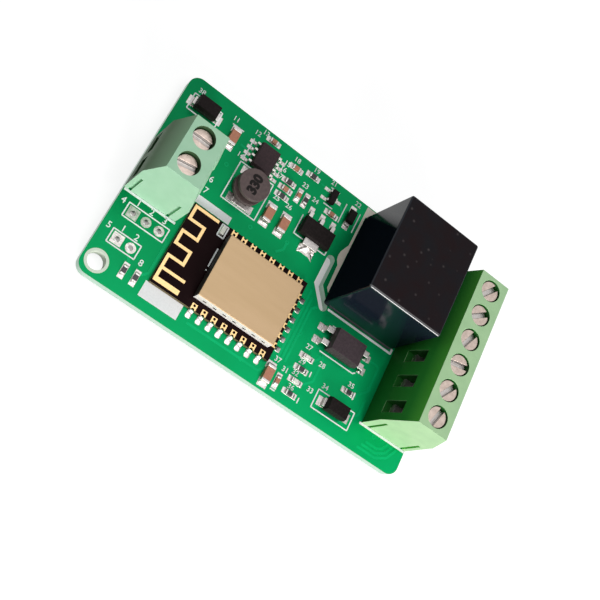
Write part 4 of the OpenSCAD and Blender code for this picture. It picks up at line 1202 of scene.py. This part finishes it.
pins = [("1", 3.5, 15.0), ("2", 6.04, 15.0), ("3", 8.58, 15.0), ("1", 3.5, 9.8), ("2", 6.04, 9.8),
        ("4", 1.1, 14.0), ("5", 1.2, 9.0), ("6", 11.7, 26.3), ("7", 11.8, 24.0), ("8", 8.7, 6.6)]
marks = [("11", 10.2, 38.7), ("12", 14.7, 39.1), ("13", 16.0, 40.1), ("14", 13.9, 33.5), ("15", 22.0, 37.8),
         ("16", 21.8, 36.4), ("17", 21.7, 34.9), ("18", 23.3, 39.6), ("19", 27.4, 40.3), ("21", 31.4, 40.4),
         ("22", 37.3, 39.9), ("23", 26.8, 36.4), ("24", 29.7, 35.2), ("25", 23.2, 31.0), ("26", 25.9, 31.0),
         ("27", 41.0, 11.3), ("28", 44.6, 9.9), ("29", 41.0, 8.4), ("31", 38.9, 5.4), ("32", 40.8, 6.0),
         ("33", 44.6, 4.9), ("34", 46.9, 6.9), ("35", 51.2, 9.9), ("36", 41.2, 3.4), ("37", 36.9, 6.2),
         ("38", 2.7, 38.9)]
numbers("print_pin_numbers", pins, 1.15, ink_z, white_ink)
numbers("print_part_numbers", marks, 0.95, ink_z, white_ink)
drum_low, drum_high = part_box("inductor_core")
drum_x, drum_y, _ = from_spot((drum_low + drum_high) / 2)
drum_top = from_spot(drum_high)[2]
numbers("inductor_number", [("330", drum_x, drum_y)], 1.75, drum_top, dark_ink, 90, 0.08)

# %% [markdown]
# ## Details that only the eye needs
# The wide tab of the small regulator sits in a pool of solder that has drawn in between its corners. The
# module has its own print, and the foot of its can has small windows, drawn as dark sheets of painted shade
# on the wall. None of these move or bear a load, so they live here and not in the CAD model.

# %% Solder pool at the tab and lands of the inductor
star = [(31.2, 28.0), (31.5, 27.0), (31.1, 25.9), (30.8, 24.9), (32.1, 25.4), (33.2, 25.2), (34.2, 24.7),
        (33.7, 25.9), (33.4, 27.0), (33.7, 28.0)]
mid_x, mid_y = 32.4, 26.5
pool_rings = []
for shrink, rise in ((1.0, 0.01), (0.88, 0.09), (0.66, 0.24), (0.42, 0.52), (0.26, 0.62)):
    ring = [(mid_x + shrink * (x - mid_x), mid_y + shrink * (y - mid_y), rise) for x, y in star]
    pool_rings.append([spot(*place) for place in ring])
add_piece("tab_solder", skinned([pool_rings]), solder, sharp=60)
coil_off, coil_l, coil_w = 2.85, 5.2, 1.6
coil_lands = [(drum_x, drum_y + side * coil_off, 0, 0, coil_l, coil_w, 1) for side in (-1, 1)]
set_out("inductor_lands", block_mesh(1, 1, 0.04, 0.015), coil_lands, solder)

# %% Print and windows on the radio module
module_top = from_spot(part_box("wifi_board")[1])[2]
module_lines = [frame_line(17.0, 18.2, 18.25, 20.4), [(18.35, 12.5), (18.35, 16.2)],
                [(18.35, 11.7), (18.35, 11.9)]]
lay_lines("module_print", module_lines, 0.26, 0.02, module_top + 0.012, white_ink, 0.05)
can_x, can_y, _ = from_spot(can_low)
# Painted shade: the windows are thin dark sheets on the can's wall, not openings.
window_first, window_pitch, window_z = 1.9, 2.0, 0.8
window_shades = [(can_x + window_first + window_pitch * step, can_y, module_top + window_z, 0) for step in range(7)]
set_out("can_windows", block_mesh(0.7, 0.03, 0.35, 0.01), window_shades, dark_ink)
